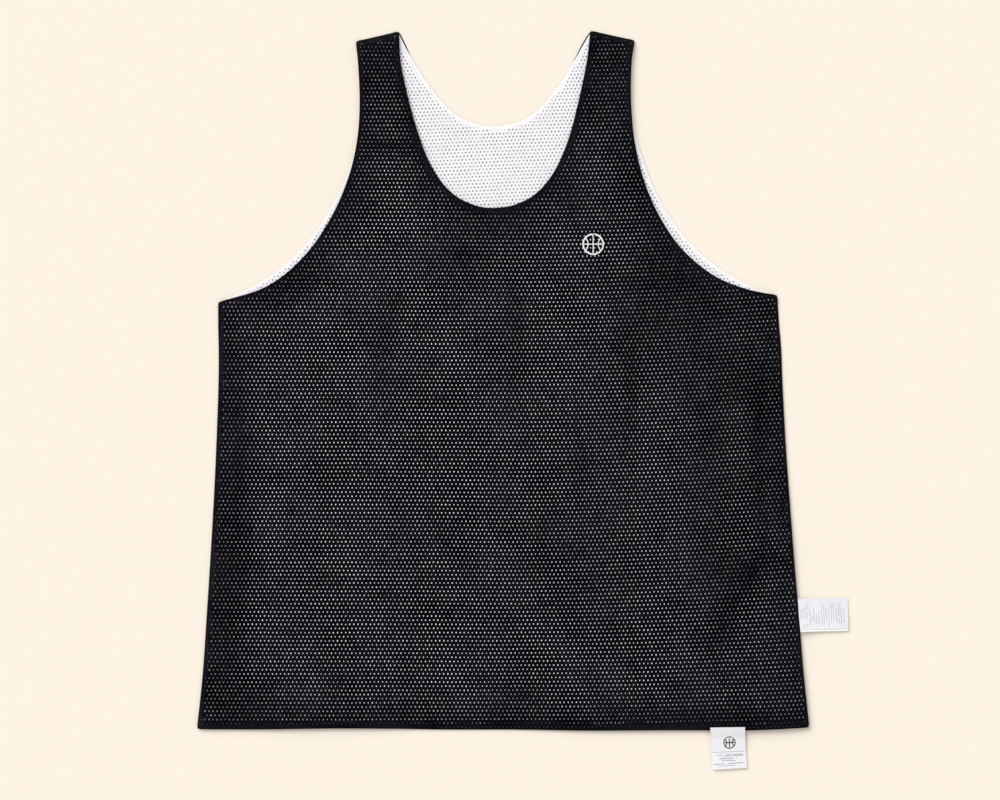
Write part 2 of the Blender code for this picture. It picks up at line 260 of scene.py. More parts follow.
def in_plan(across, height):
    """A place in plan, from millimetres across from the centre line and above the hem."""
    return np.array((across, height - BODY_LENGTH / 2)) * MM


def rise_of(places, rows):
    """How far soft round rises lift the cloth."""
    total = np.zeros(len(places))
    for row in rows:
        reach = np.array((row.half_width, row.half_height)) * MM
        away = (places - in_plan(row.across, row.height)) / reach
        total += row.rise * MM * np.exp(-(away**2).sum(1))
    return total


def wired(tree, kind, sources=(), **settings):
    """A new node with its settings, whose inputs take these values or links, by name or number. Gives
    the node's outputs."""
    made = tree.nodes.new(kind)
    for key, value in settings.items():
        setattr(made, key, value)
    for key, source in dict(sources).items():
        if hasattr(source, "is_output"):
            tree.links.new(source, made.inputs[key])
        else:
            made.inputs[key].default_value = source
    return made.outputs


def maths(tree, operation, *sources):
    """What a Math node makes of these values or links."""
    return wired(tree, "ShaderNodeMath", enumerate(sources), operation=operation)[0]


def vector_maths(tree, operation, *sources):
    """What a Vector Math node makes of these values or links."""
    return wired(tree, "ShaderNodeVectorMath", enumerate(sources), operation=operation)[0]


def times(tree, vector, factor):
    """A vector made longer or shorter."""
    sources = {"Vector": vector, "Scale": factor}
    return wired(tree, "ShaderNodeVectorMath", sources, operation="SCALE")[0]


def ranged(tree, *sources, way="SMOOTHSTEP"):
    """A value taken from one range to another: the value, then both ends of each range."""
    return wired(tree, "ShaderNodeMapRange", enumerate(sources), interpolation_type=way)[0]


def node_tree(name, kind, inputs, output):
    """A node tree whose inputs and output are given as names and kinds, and its inputs' sockets."""
    tree = bpy.data.node_groups.new(name, kind)
    for way, sockets in (("INPUT", inputs), ("OUTPUT", output)):
        for label, socket in sockets.items():
            tree.interface.new_socket(label, in_out=way, socket_type="NodeSocket" + socket)
    return tree, tree.nodes.new("NodeGroupInput").outputs


def modifier_tree(name, floats, others):
    """A Geometry Nodes tree with float inputs of these names, and others of other kinds."""
    inputs = {"Geometry": "Geometry"} | dict.fromkeys(floats, "Float") | others
    tree, given = node_tree(name, "GeometryNodeTree", inputs, {"Geometry": "Geometry"})
    tree.is_modifier = True
    return tree, given


def end_tree(tree, instances, material):
    """Ends a Geometry Nodes tree: its instances are made real and take their material."""
    real = wired(tree, "GeometryNodeRealizeInstances", {0: instances})
    finished = wired(tree, "GeometryNodeSetMaterial", {0: real[0], "Material": material})
    wired(tree, "NodeGroupOutput", {0: finished[0]})


def perforation_tree():
    """Rims of eyelets on a staggered lattice over a flat pattern piece."""
    tree, given = modifier_tree("perforations", (
        "Pitch", "Row Pitch", "Eyelet Width", "Eyelet Height", "Row Tilt", "Row Lift", "Shoulder Share",
        "Hem Lift Share", "Sway", "Sway Size", "Unevenness", "Clearance",
    ), {"Seed": "Int", "Cloth": "Material"})
    node, sums, vectors = (partial(maker, tree) for maker in (wired, maths, vector_maths))
    piece = given["Geometry"]

    # A level grid over the piece's box, a few steps wider on each side
    box = node("GeometryNodeBoundBox", {0: piece})
    extent = vectors("SUBTRACT", box["Max"], box["Min"])
    middle = vectors("MULTIPLY_ADD", extent, (0.5, 0.5, 0.5), box["Min"])
    sides = node("ShaderNodeSeparateXYZ", {0: extent})
    counts, sizes = [], []
    for axis, pitch in enumerate((given["Pitch"], given["Row Pitch"])):
        count = sums("ADD", sums("FLOOR", sums("DIVIDE", sides[axis], pitch)), GRID_MARGIN)
        counts.append(count)
        sizes.append(sums("MULTIPLY", sums("SUBTRACT", count, 1.0), pitch))
    grid = node("GeometryNodeMeshGrid", enumerate(sizes + counts))

    # Each eyelet is in one of three lanes, and its neighbours are in the other two. Rows are counted
    # from far below the piece, so that no row has a negative number.
    place = node("GeometryNodeInputPosition")[0]
    here = node("ShaderNodeSeparateXYZ", {0: place})
    counted = sums("SUBTRACT", here[1], ROWS_COUNTED_FROM * MM)
    row = sums("ROUND", sums("DIVIDE", counted, given["Row Pitch"]))
    column = sums("FLOOR", sums("ADD", sums("DIVIDE", here[0], given["Pitch"]), COLUMN_LEEWAY))
    slant = sums("SUBTRACT", column, sums("FLOOR", sums("DIVIDE", row, 2.0)))
    lane = sums("FLOORED_MODULO", sums("SUBTRACT", slant, row), 3.0)
    laned = node("GeometryNodeStoreNamedAttribute", {
        "Geometry": grid["Mesh"], "Name": "lane", "Value": lane,
    }, data_type="FLOAT", domain="POINT")

    # Every other row moves half a pitch, rows tilt and lift, and columns close up at the shoulders
    shift = sums("MULTIPLY", sums("FLOORED_MODULO", row, 2.0), given["Pitch"])
    across = sums("ADD", here[0], sums("MULTIPLY", shift, 0.5))
    share = ranged(tree, here[1], 0.0, SHOULDER_HEIGHT * MM, 1.0, given["Shoulder Share"])
    across = sums("MULTIPLY", across, share)
    right = sums("MAXIMUM", across, 0.0)
    lift = sums("MULTIPLY", sums("MULTIPLY", right, right), given["Row Lift"])
    lowest, highest = (height * MM for height in HEM_HEIGHTS)
    lift = sums("MULTIPLY", lift, ranged(tree, here[1], lowest, highest, given["Hem Lift Share"], 1.0))
    moved = node("ShaderNodeCombineXYZ", {0: across, 1: sums("ADD", here[1], lift)})
    angle = sums("RADIANS", given["Row Tilt"])
    tilted = node("ShaderNodeVectorRotate", {"Vector": moved[0], "Angle": angle}, rotation_type="Z_AXIS")
    placed = vectors("ADD", tilted[0], middle)
    lattice = node("GeometryNodeSetPosition", {"Geometry": laned[0], "Position": placed})

    # The cloth's slow sway, and the knit's own unevenness
    waves = node("ShaderNodeTexNoise", {
        "Scale": sums("DIVIDE", 1.0, given["Sway Size"]), "Detail": 1.0, "W": given["Seed"],
    }, noise_dimensions="4D")
    centred = vectors("SUBTRACT", waves["Color"], (0.5, 0.5, 0.5))
    reach = node("ShaderNodeCombineXYZ", {0: given["Sway"], 1: given["Sway"]})
    drift = vectors("MULTIPLY", centred, reach[0])
    jolt = node("FunctionNodeRandomValue", {
        "Min": (-1.0, -1.0, 0.0), "Max": (1.0, 1.0, 0.0), "Seed": given["Seed"],
    }, data_type="FLOAT_VECTOR")
    offset = vectors("ADD", drift, times(tree, jolt[0], given["Unevenness"]))
    swayed = node("GeometryNodeSetPosition", {"Geometry": lattice[0], "Offset": offset})

    # Only points on the piece and clear of its plain edge keep their eyelets
    ray = node("GeometryNodeRaycast", {
        "Target Geometry": piece, "Source Position": vectors("ADD", place, (0.0, 0.0, 1.0)),
        "Ray Direction": (0.0, 0.0, -1.0), "Ray Length": 2.0,
    })
    near = node("GeometryNodeProximity", {0: piece}, target_element="EDGES")
    rim_point = node("GeometryNodeSampleNearest", {"Geometry": piece}, domain="POINT")
    plain = node("GeometryNodeInputNamedAttribute", {"Name": "plain_width"}, data_type="FLOAT")
    sampled = node("GeometryNodeSampleIndex", {
        "Geometry": piece, "Value": plain[0], "Index": rim_point[0],
    }, data_type="FLOAT", domain="POINT")
    widest = sums("MAXIMUM", given["Eyelet Width"], given["Eyelet Height"])
    bare = sums("MAXIMUM", sampled[0], given["Clearance"])
    least = sums("ADD", bare, sums("MULTIPLY", widest, EYELET_RADIUS_SHARE))
    clear = sums("GREATER_THAN", near["Distance"], least)
    outside = node("FunctionNodeBooleanMath", {0: ray["Is Hit"], 1: clear}, operation="NAND")
    kept = node("GeometryNodeDeleteGeometry", {0: swayed[0], "Selection": outside[0]}, domain="POINT")

    # One rim on each point, each a little different
    rim = node("GeometryNodeMeshCircle", {"Vertices": EYELET_SIDES, "Radius": 0.5}, fill_type="NONE")
    size = node("ShaderNodeCombineXYZ", {0: given["Eyelet Width"], 1: given["Eyelet Height"], 2: 1.0})
    growth = node("FunctionNodeRandomValue", {
        2: EYELET_GROWTH[0], 3: EYELET_GROWTH[1], "Seed": sums("ADD", given["Seed"], 1.0),
    }, data_type="FLOAT")
    turn = node("FunctionNodeRandomValue", {
        "Min": (0.0, 0.0, EYELET_TURN[0]), "Max": (0.0, 0.0, EYELET_TURN[1]),
        "Seed": sums("ADD", given["Seed"], 2.0),
    }, data_type="FLOAT_VECTOR")
    rims = node("GeometryNodeInstanceOnPoints", {
        "Points": kept[0], "Instance": rim["Mesh"], "Rotation": turn[0],
        "Scale": times(tree, size[0], growth[1]),
    })
    end_tree(tree, rims[0], given["Cloth"])
    return tree


def link_new(name, data):
    """A new object in the scene."""
    made = bpy.data.objects.new(name, data)
    bpy.context.scene.collection.objects.link(made)
    return made


def new_piece(name, points, faces, edges=(), material=None, smooth=True):
    """A new mesh object in the scene."""
    mesh = bpy.data.meshes.new(name)
    mesh.from_pydata(np.asarray(points).tolist(), edges, faces)
    if smooth:
        mesh.shade_smooth()
    if material:
        mesh.materials.append(material)
    return link_new(name, mesh)


def grown(piece, tree, **values):
    """The plain mesh that a Geometry Nodes tree makes of a piece. Underscores stand for spaces."""
    modifier = piece.modifiers.new(tree.name, "NODES")
    modifier.node_group = tree
    for item in tree.interface.items_tree:
        key = item.name.replace(" ", "_")
        if item.item_type == "SOCKET" and item.in_out == "INPUT" and key in values:
            modifier[item.identifier] = values[key]
    graph = bpy.context.evaluated_depsgraph_get()
    mesh = bpy.data.meshes.new_from_object(piece.evaluated_get(graph))
    piece.modifiers.remove(modifier)
    return mesh


def read_from(rows, field, width, kind=float):
    """One field of all these rows, as an array so many numbers wide."""
    values = np.empty(len(rows) * width, kind)
    rows.foreach_get(field, values)
    return values.reshape(-1, width)


def mark_points(mesh, name, values):
    """Gives each point of a mesh a number, or three."""
    kind, field = ("FLOAT", "value") if values.ndim == 1 else ("FLOAT_VECTOR", "vector")
    mesh.attributes.new(name, kind, "POINT").data.foreach_set(field, values.astype(float).ravel())


def eyelets_over(outline, plain_edge, lattice, cloth):
    """The points and edges of every eyelet's rim on a flat pattern piece, and the points' lanes."""
    flat = np.column_stack([outline, np.zeros(len(outline))])
    piece = new_piece("pattern_piece", flat, [range(len(outline))], smooth=False)
    mark_points(piece.data, "plain_width", np.full(len(outline), plain_edge) * MM)
    rims = grown(
        piece, PERFORATIONS, Pitch=lattice.pitch * MM, Row_Pitch=lattice.row_pitch * MM,
        Eyelet_Width=lattice.eyelet_width * MM, Eyelet_Height=lattice.eyelet_height * MM,
        Row_Tilt=lattice.row_tilt, Row_Lift=lattice.row_lift, Shoulder_Share=lattice.shoulder_share,
        Hem_Lift_Share=HEM_LIFT_SHARE, Sway=lattice.sway * MM, Sway_Size=SWAY_SIZE * MM,
        Unevenness=lattice.unevenness * MM, Clearance=EYELET_CLEARANCE * MM, Seed=lattice.seed, Cloth=cloth,
    )
    bpy.data.objects.remove(piece)
    points = read_from(rims.vertices, "co", 3)[:, :2]
    edges = read_from(rims.edges, "vertices", 2, int)
    lanes = read_from(rims.attributes["lane"].data, "value", 1)[:, 0]
    return points, edges, np.rint(lanes).astype(int) % 3


def filler_points(outline, eyelets):
    """Points in rings inside the outline, clear of the eyelets, so that its edge can be rounded."""
    tree = search_tree(eyelets.reshape(-1, EYELET_SIDES, 2).mean(1))
    outward = outward_of(outline)
    found = []
    for ring in FILLER_RINGS:
        places = outline - outward * ring * MM
        distance, _ = distance_to_rim(places, outline)
        for place, far in zip(places, distance):
            clear = tree.find((*place, 0))[2] > FILLER_CLEARANCE * MM
            if clear and far > ring * MM * FILLER_LEEWAY:
                found.append(place)
    return np.array(found)


def knitted(outline, eyelets, eyelet_edges, fillers):
    """Triangles over the cloth between its outline and its eyelets."""
    count = len(outline)
    ring = np.column_stack([np.arange(count), (np.arange(count) + 1) % count])
    points = [Vector(point) for point in np.vstack([outline, eyelets, fillers])]
    edges = np.vstack([ring, eyelet_edges + count]).tolist()
    found, _, faces, _, _, _ = delaunay_2d_cdt(points, edges, [], 1, KNIT_TOLERANCE)
    assert len(found) == len(points), "points of the knit fell together"
    triangles = np.array(faces)
    of_eyelet = (triangles >= count) & (triangles < count + len(eyelets))
    eyelet = np.where(of_eyelet, (triangles - count) // EYELET_SIDES, -1 - triangles)
    return triangles[(eyelet[:, 0] != eyelet[:, 1]) | (eyelet[:, 1] != eyelet[:, 2])].tolist()


def cloth_panel(
    name, outline, kinds, lattice, level, side, cloth, widths, seed, plain_edge, drop, edge_shade=0.0,
):
    """A panel of mesh cloth with its edges turned in. side is 1 if it faces up and -1 if down, and level
    gives its height at places in plan. Its allowance has these widths, uneven by seed, and lies a drop
    behind it. plain_edge is how far in its eyelets start, and edge_shade is painted shade on its very edge."""
    eyelets, eyelet_edges, lanes = eyelets_over(outline, plain_edge, lattice, cloth)
    fillers = filler_points(outline, eyelets)
    plan = np.vstack([outline, eyelets, fillers])
    points = [np.column_stack([plan, level(plan)])]

    # The edge rolls round in a half circle, and its allowance runs back behind the panel
    count = len(outline)
    outward = outward_of(outline)
    rim_level = level(outline)
    half_drop = np.full(count, drop) * MM / 2
    for step in range(1, TURN_STEPS + 1):
        angle = math.pi * step / TURN_STEPS
        over = outline + outward * (half_drop * math.sin(angle))[:, None]
        behind = half_drop * (1 - math.cos(angle))
        points.append(np.column_stack([over, rim_level - side * behind]))
    allowances = allowances_along(outline, kinds, widths, seed)[:, None]
    for reach, behind in ALLOWANCE_ROWS:
        under = outline - outward * reach * allowances
        points.append(np.column_stack([under, level(under) - side * behind * MM]))
    places = np.vstack(points)
    starts = [0, *range(len(plan), len(places), count)]
    rings = [start + np.arange(count) for start in starts]
    quads = []
    for near, far in zip(rings, rings[1:]):
        quads.append(np.column_stack([np.roll(near, -1), near, far, np.roll(far, -1)]))
    faces = knitted(outline, eyelets, eyelet_edges, fillers) + np.vstack(quads).tolist()
    if side < 0:
        faces = [face[::-1] for face in faces]
    panel = new_piece(name, places, faces, material=cloth)
    corners = read_from(panel.data.loops, "vertex_index", 1, int)[:, 0]
    flat = places[:, :2] / (BODY_LENGTH * MM * UV_MARGIN) + 0.5
    panel.data.uv_layers.new(name="OFBake").data.foreach_set("uv", flat[corners].ravel())

    # For the material: which lane's eyelet a point belongs to, for the painted shade round it, and which
    # points are turned in. The outline and the first two roll rings take edge_shade, painted shade on the
    # very edge.
    lane_marks = np.zeros((len(places), 3))
    lane_marks[count + np.arange(len(eyelets)), lanes] = 1
    lane_marks[np.concatenate(rings[:3])] = edge_shade
    mark_points(panel.data, "eyelet_lane", lane_marks)
    mark_points(panel.data, "turned_in", np.arange(len(places)) >= starts[-len(ALLOWANCE_ROWS)])
    return panel


def shader_group(name, inputs, output):
    """A shader node group with these float inputs and one float output, and its inputs' sockets."""
    return node_tree(name, "ShaderNodeTree", dict.fromkeys(inputs, "Float"), {output: "Float"})


def on_object(tree):
    """The place on the object."""
    return wired(tree, "ShaderNodeTexCoord")["Object"]


def knit_grain_group():
    """The fine loops of a knit: upright wales and level courses, a little irregular."""
    group, given = shader_group("knit_grain", ("Wales per Metre", "Courses per Metre", "Wander"), "Height")
    place = on_object(group)
    wander = wired(group, "ShaderNodeTexNoise", {"Vector": place, "Scale": 160.0, "Detail": 2.0})
    moved = vector_maths(group, "ADD", place, times(group, wander["Color"], given["Wander"]))
    parts = wired(group, "ShaderNodeSeparateXYZ", {0: moved})
    waves = []
    for axis, rate in enumerate(("Wales per Metre", "Courses per Metre")):
        turns = maths(group, "MULTIPLY", parts[axis], given[rate])
        waves.append(maths(group, "SINE", maths(group, "MULTIPLY", turns, math.tau)))
    height = maths(group, "ADD", waves[0], maths(group, "MULTIPLY", *waves))
    wired(group, "NodeGroupOutput", {"Height": height})
    return group


def cloth_tone_group():
    """Slow and fine changes of tone over a cloth, about a middle of one half."""
    group, given = shader_group("cloth_tone", ("Patch Size", "Fine Size"), "Tone")
    place = on_object(group)
    layers = []
    for size, detail in (("Patch Size", 2.0), ("Fine Size", 3.0)):
        rate = maths(group, "DIVIDE", 1.0, given[size])
        layer = wired(group, "ShaderNodeTexNoise", {"Vector": place, "Scale": rate, "Detail": detail})
        layers.append(layer["Fac"])
    wired(group, "NodeGroupOutput", {"Tone": maths(group, "MULTIPLY", maths(group, "ADD", *layers), 0.5)})
    return group


def lint_group():
    """Sparse specks of lint."""
    group, given = shader_group("lint", ("Cell Size", "Speck", "Share"), "Mask")
    rate = maths(group, "DIVIDE", 1.0, given["Cell Size"])
    cells = wired(group, "ShaderNodeTexVoronoi", {"Vector": on_object(group), "Scale": rate}, feature="F1")
    small = maths(group, "LESS_THAN", cells["Distance"], given["Speck"])
    draw = wired(group, "ShaderNodeSeparateXYZ", {0: cells["Color"]})[0]
    chosen = maths(group, "LESS_THAN", draw, given["Share"])
    wired(group, "NodeGroupOutput", {"Mask": maths(group, "MULTIPLY", small, chosen)})
    return group


def eyelet_shade_group():
    """How clear a place is of the painted shade round the eyelets' rims, from nothing on them to one
    between them.
    """
    group, given = shader_group("clear_of_eyelets", ("Rim Width", "Clear Width"), "Clear")
    lanes = wired(group, "ShaderNodeAttribute", attribute_name="eyelet_lane")["Vector"]
    parts = wired(group, "ShaderNodeSeparateXYZ", {0: lanes})
    most = maths(group, "MAXIMUM", maths(group, "MAXIMUM", parts[0], parts[1]), parts[2])
    far = maths(group, "SUBTRACT", 1.0, most)
    clear = ranged(group, far, given["Rim Width"], given["Clear Width"])
    wired(group, "NodeGroupOutput", {"Clear": clear})
    return group


def group_in(tree, group, **values):
    """A shader group placed in a material with its values. Underscores stand for spaces."""
    sources = {key.replace("_", " "): value for key, value in values.items()}
    return wired(tree, "ShaderNodeGroup", sources, node_tree=group)[0]


def mixed(tree, factor, *colours):
    """A mix of two colours, each three numbers or a link."""
    ends = [(*colour, 1) if isinstance(colour, tuple) else colour for colour in colours]
    mix = wired(tree, "ShaderNodeMix", {0: factor, 6: ends[0], 7: ends[1]}, data_type="RGBA")
    return mix[2]


def cloth_finish(
    name, dark, light, roughness=0.8, sheen=0.0, grain_depth=0.03, specular=0.3, lint=None, rim=None,
    turned=None,
):
    """A knitted cloth: its tone drifts between two colours, and its loops show as a fine grain. A
    mesh has painted shade, its rim colour, round its eyelets, and another colour on its turned-in
    allowance."""
    made = bpy.data.materials.new(name)
    made.use_nodes = True
    tree = made.node_tree
    tone = group_in(tree, CLOTH_TONE, Patch_Size=0.06, Fine_Size=0.002)
    colour = mixed(tree, ranged(tree, tone, *TONE_SPREAD, way="LINEAR"), dark, light)
    if lint:
        colour = mixed(tree, group_in(tree, LINT, Cell_Size=0.012, Speck=0.03, Share=0.5), colour, lint)
    # rim is painted shade: a darker colour laid round each eyelet, and in part along a very edge marked for
    # it
    if rim:
        colour = mixed(tree, group_in(tree, EYELET_SHADE, Rim_Width=0.18, Clear_Width=0.6), rim, colour)
        inside = wired(tree, "ShaderNodeAttribute", attribute_name="turned_in")["Fac"]
        colour = mixed(tree, inside, colour, turned)
    glosses = roughness - GLOSS_DRIFT, roughness + GLOSS_DRIFT
    gloss = ranged(tree, tone, *GLOSS_SPREAD, *glosses, way="LINEAR")
    grain = group_in(tree, KNIT_GRAIN, Wales_per_Metre=1900.0, Courses_per_Metre=1700.0, Wander=0.0004)
    bump = wired(tree, "ShaderNodeBump", {
        "Strength": GRAIN_STRENGTH, "Distance": grain_depth * MM, "Height": grain,
    })
    shader = tree.nodes["Principled BSDF"].inputs
    for label, link in (("Base Color", colour), ("Roughness", gloss), ("Normal", bump[0])):
        tree.links.new(link, shader[label])
    shader["Sheen Weight"].default_value = sheen
    shader["Sheen Roughness"].default_value = SHEEN_ROUGHNESS
    shader["Specular IOR Level"].default_value = specular
    return made


def black_back_level(places):
    """The black back's height. It lies lowest along its edge."""
    swell = BLACK_BACK_SWELL * MM * inside_share(places, back_outline, SWELL_WIDTH)
    return rise_of(places, RAISED_EDGES) + BLACK_BACK_LEVEL * MM + swell


PERFORATIONS = perforation_tree()
KNIT_GRAIN = knit_grain_group()
CLOTH_TONE = cloth_tone_group()
LINT = lint_group()
EYELET_SHADE = eyelet_shade_group()
# The black's rim colour is painted shade round its eyelets and, in part, along its very edge.
BLACK_MESH = cloth_finish(
    "black_micro_mesh", dark=(0.0024, 0.0022, 0.0038), light=(0.0122, 0.0115, 0.0152), roughness=0.7,
    grain_depth=0.08, specular=0.012, lint=(0.05, 0.05, 0.055), rim=(0.0002, 0.0002, 0.0008),
    turned=(0.09, 0.09, 0.10),
)

back_outline, back_kinds = outline_of("outer_back")
black_back = cloth_panel(
    "black_back", back_outline, back_kinds, BLACK_BACK_MESH, black_back_level, side=-1, cloth=BLACK_MESH,
    widths=BLACK_ALLOWANCES, seed=1.7, plain_edge=PLAIN_EDGE, drop=LAYER_DROP, edge_shade=EDGE_SHADE,
)
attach(black_back, "root")
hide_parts("outer_back")

# ---------------------------------------------------------------- the white back
# The back of the white lining, in a finer mesh of the same kind. Its right side faces up, so it is
# the white that shows inside the neck and along the lower armholes, with a plain double edge.

WHITE_BACK_LEVEL = 1.5
WHITE_BACK_RIPPLE = 0.18
RIPPLE_SIZE = 42.0
WHITE_PLAIN_EDGE = 1.2
HIDDEN_PLAIN_EDGE = 5.2
WHITE_ALLOWANCES = {"hem": 5.0, "side": 4.0, "armhole": 3.2, "shoulder": 3.0, "neck": 4.4}
CORNER_GAP = 1.5
STEPS_OFF_NECK = 6
STEPS_ALONG_NECK = 12
GAP_FADE = 1.7
DRAW_FADE = 1.6
WHITE_BACK_MESH = Lattice(4.11, 3.83, 1.3, 1.75, 2.4, 0.0, 0.97, 1.6, 0.14, 11)


def drawn_to_corners(outline, kinds, body, body_kinds):
    """A lining's outline, drawn out at its two neck corners to leave only a thin line of the body."""
    drawn = outline.copy()
    inward = outward_of(body) * -MM
    necks = [np.flatnonzero(names == "neck") for names in (kinds, body_kinds)]
    own, other = ((neck[0], neck[-1] + 1) for neck in necks)
    for corner, body_corner, way in zip(own, other, (1, -1)):
        for step in range(1 - STEPS_OFF_NECK, STEPS_ALONG_NECK):
            share = 1 - (step / STEPS_ALONG_NECK if step > 0 else -step / STEPS_OFF_NECK)
            here = (corner + way * step) % len(outline)
            there = (body_corner + way * step) % len(body)
            thin = min(1, GAP_FADE * share) if step > 0 else 1
            target = body[there] + inward[there] * CORNER_GAP * thin
            drawn[here] += (target - outline[here]) * min(1, DRAW_FADE * share)
    return drawn


def white_back_level(places):
    """The white back's height."""
    wave = WHITE_BACK_RIPPLE * ripple(places, RIPPLE_SIZE, seed=3.3)
    return rise_of(places, RAISED_EDGES) + (WHITE_BACK_LEVEL + wave) * MM


# The rim colour is painted shade round the eyelets.
WHITE_MESH = cloth_finish(
    "white_micro_mesh", dark=(0.90, 0.888, 0.905), light=(0.975, 0.962, 0.98), sheen=0.05,
    rim=(0.79, 0.775, 0.805), turned=(0.9, 0.89, 0.91),
)

lining_outline, lining_kinds = outline_of("inner_back")
lining_outline = drawn_to_corners(lining_outline, lining_kinds, back_outline, back_kinds)
hidden = np.isin(lining_kinds, ("hem", "side"))
white_back = cloth_panel(
    "white_back", lining_outline, lining_kinds, WHITE_BACK_MESH, white_back_level, side=1,
    cloth=WHITE_MESH, widths=WHITE_ALLOWANCES, seed=4.2,
    plain_edge=np.where(hidden, HIDDEN_PLAIN_EDGE, WHITE_PLAIN_EDGE), drop=LAYER_DROP,
)
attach(white_back, "root")
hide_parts("inner_back")

# ---------------------------------------------------------------- the white front
# The front of the white lining. Its right side faces down, on the white back, and the black front
# shows it through every eyelet. It carries the folds of the whole front.

WHITE_FRONT_LEVEL = 3.66
WHITE_FRONT_SWELL = 0.19
WHITE_FRONT_DROP = 0.07
LINING_RIM_LEVEL = 0.85
ROLL_WIDTH = 8.0
WHITE_FRONT_MESH = Lattice(4.2, 3.95, 0.8, 1.0, -1.6, 0.0, 0.96, 3.2, 0.5, 23)
FOLD_FADE = 45.0
CREASE_FADE = 13.0
DEEPEST_CREASE = -0.5

# Soft troughs, which have a negative rise, and the low billows between them, in millimetres from
# the centre line and above the hem. Each bows sideways in its middle and has a bell curve's spread.
Fold = namedtuple("Fold", "from_across from_height to_across to_height bow spread rise")
LARGE_FOLDS = (
    Fold(-190, 560, -120, 390, 20, 48, 2.4),
    Fold(-40, 480, 30, 250, -16, 55, 2.6),
    Fold(60, 520, 150, 430, 10, 40, 2),
    Fold(-250, 330, -170, 120, 18, 50, 2.4),
    Fold(-90, 190, 90, 90, 14, 46, 2.2),
    Fold(170, 330, 230, 200, -12, 44, 2.4),
    Fold(255, 120, 290, 50, 6, 34, 1.8),
    Fold(-124, 655, -128, 600, 0, 24, 1.2),
    Fold(66, 600, 134, 552, 5, 20, -1.4),
    Fold(22, 480, 18, 380, 4, 22, -1.6),
    Fold(-104, 460, -128, 350, -8, 24, -1.4),
    Fold(282, 186, 234, 84, -12, 22, -2.2),
    Fold(-78, 246, -22, 168, -6, 22, -1.8),
    Fold(140, 400, 152, 318, 4, 20, -1.4),
    Fold(90, 300, 52, 170, 8, 24, -1.4),
    Fold(46, 110, 134, 14, 10, 24, -1.6),
)
CREASES = (
    Fold(-142, 636, -92, 634, 2, 4.5, -0.7),
    Fold(-142, 627, -98, 626, 2, 6, 0.5),
    Fold(64, 600, 136, 552, 6, 6, -0.6),
    Fold(19, 480, 20, 368, 4, 7, -0.5),
    Fold(-106, 468, -128, 358, -7, 8, -0.5),
    Fold(158, 468, 126, 418, 3, 4.5, 0.5),
    Fold(134, 456, 146, 314, 5, 6, -0.5),
    Fold(210, 380, 238, 314, -4, 6.5, -0.6),
    Fold(-74, 240, -24, 162, -5, 5, -0.7),
    Fold(90, 326, 88, 248, 3, 7.5, -0.5),
    Fold(52, 228, 53, 172, -3, 7, -0.5),
    Fold(284, 188, 260, 140, 5, 6.5, -0.9),
    Fold(260, 142, 232, 84, 4, 7.5, -0.9),
    Fold(-285, 414, -283, 138, 5, 8, -0.6),
    Fold(290, 384, 294, 182, -6, 7.5, -0.7),
    Fold(-180, 56, -160, 48, 0, 7, -0.5),
    Fold(-8, 42, 38, 34, 2, 7, -0.5),
    Fold(102, 44, 158, 14, -3, 4.5, -0.8),
    Fold(112, 48, 162, 22, -3, 5, 0.5),
    Fold(260, 63, 322, 96, 4, 6.5, -0.6),
    Fold(-226, 490, -272, 424, 4, 3.8, -0.6),
    Fold(-240, 494, -286, 436, 4, 4.2, 0.4),
    Fold(-264, 268, -170, 274, 4, 5, -0.35),
    Fold(-250, 236, -150, 228, -5, 5, 0.3),
    Fold(-96, 236, -120, 190, 3, 5, -0.35),
    Fold(-60, 530, -28, 506, 3, 7, -0.4),
    Fold(226, 470, 252, 380, 6, 6, 0.4),
)


def fold_rise(places, folds):
    """How far these folds lift the cloth."""
    rise = np.zeros(len(places))
    for fold in folds:
        start = in_plan(fold.from_across, fold.from_height)
        end = in_plan(fold.to_across, fold.to_height)
        length = np.linalg.norm(end - start)
        along = (end - start) / length
        across = np.array((-along[1], along[0]))
        t = np.clip((places - start) @ along / length, 0, 1)
        beyond = (places - start) @ along - t * length
        aside = (places - start) @ across - fold.bow * MM * 4 * t * (1 - t)
        rise += fold.rise * MM * np.exp(-(beyond**2 + aside**2) / (fold.spread * MM) ** 2)
    return rise


def front_rise(places):
    """How far the folds, creases and raised edges lift the front above its lowest lie."""
    large = np.maximum(fold_rise(places, LARGE_FOLDS), 0)
    large *= inside_share(places, front_outline, FOLD_FADE)
    fine = fold_rise(places, CREASES) * inside_share(places, front_outline, CREASE_FADE)
    return np.maximum(large + fine, DEEPEST_CREASE * MM) + rise_of(places, RAISED_EDGES)


def rolled_down(inner, places, rim_level):
    """A front layer's height, with its roll down to the back along the closed edges."""
    distance, nearest = distance_to_rim(places, front_outline)
    t = np.clip(distance / (ROLL_WIDTH * MM), 0, 1)
    down = (1 - np.sin(t * math.pi / 2)) * rolled_share[nearest]
    return inner * (1 - down) + (rim_level * MM + rise_of(places, RAISED_EDGES)) * down


def white_front_level(places):
    """The white front's height. Away from the allowances it comes up to the black."""
    swell = WHITE_FRONT_SWELL * MM * inside_share(places, front_lining_outline, SWELL_WIDTH)
    return rolled_down(front_rise(places) + WHITE_FRONT_LEVEL * MM + swell, places, LINING_RIM_LEVEL)


# The rim colour is painted shade round the eyelets.
WHITE_WRONG_SIDE = cloth_finish(
    "white_micro_mesh_wrong_side", dark=(0.955, 0.91, 0.955), light=(0.985, 0.935, 0.985), sheen=0.05,
    rim=(0.9, 0.855, 0.9), turned=(0.9, 0.87, 0.905),
)

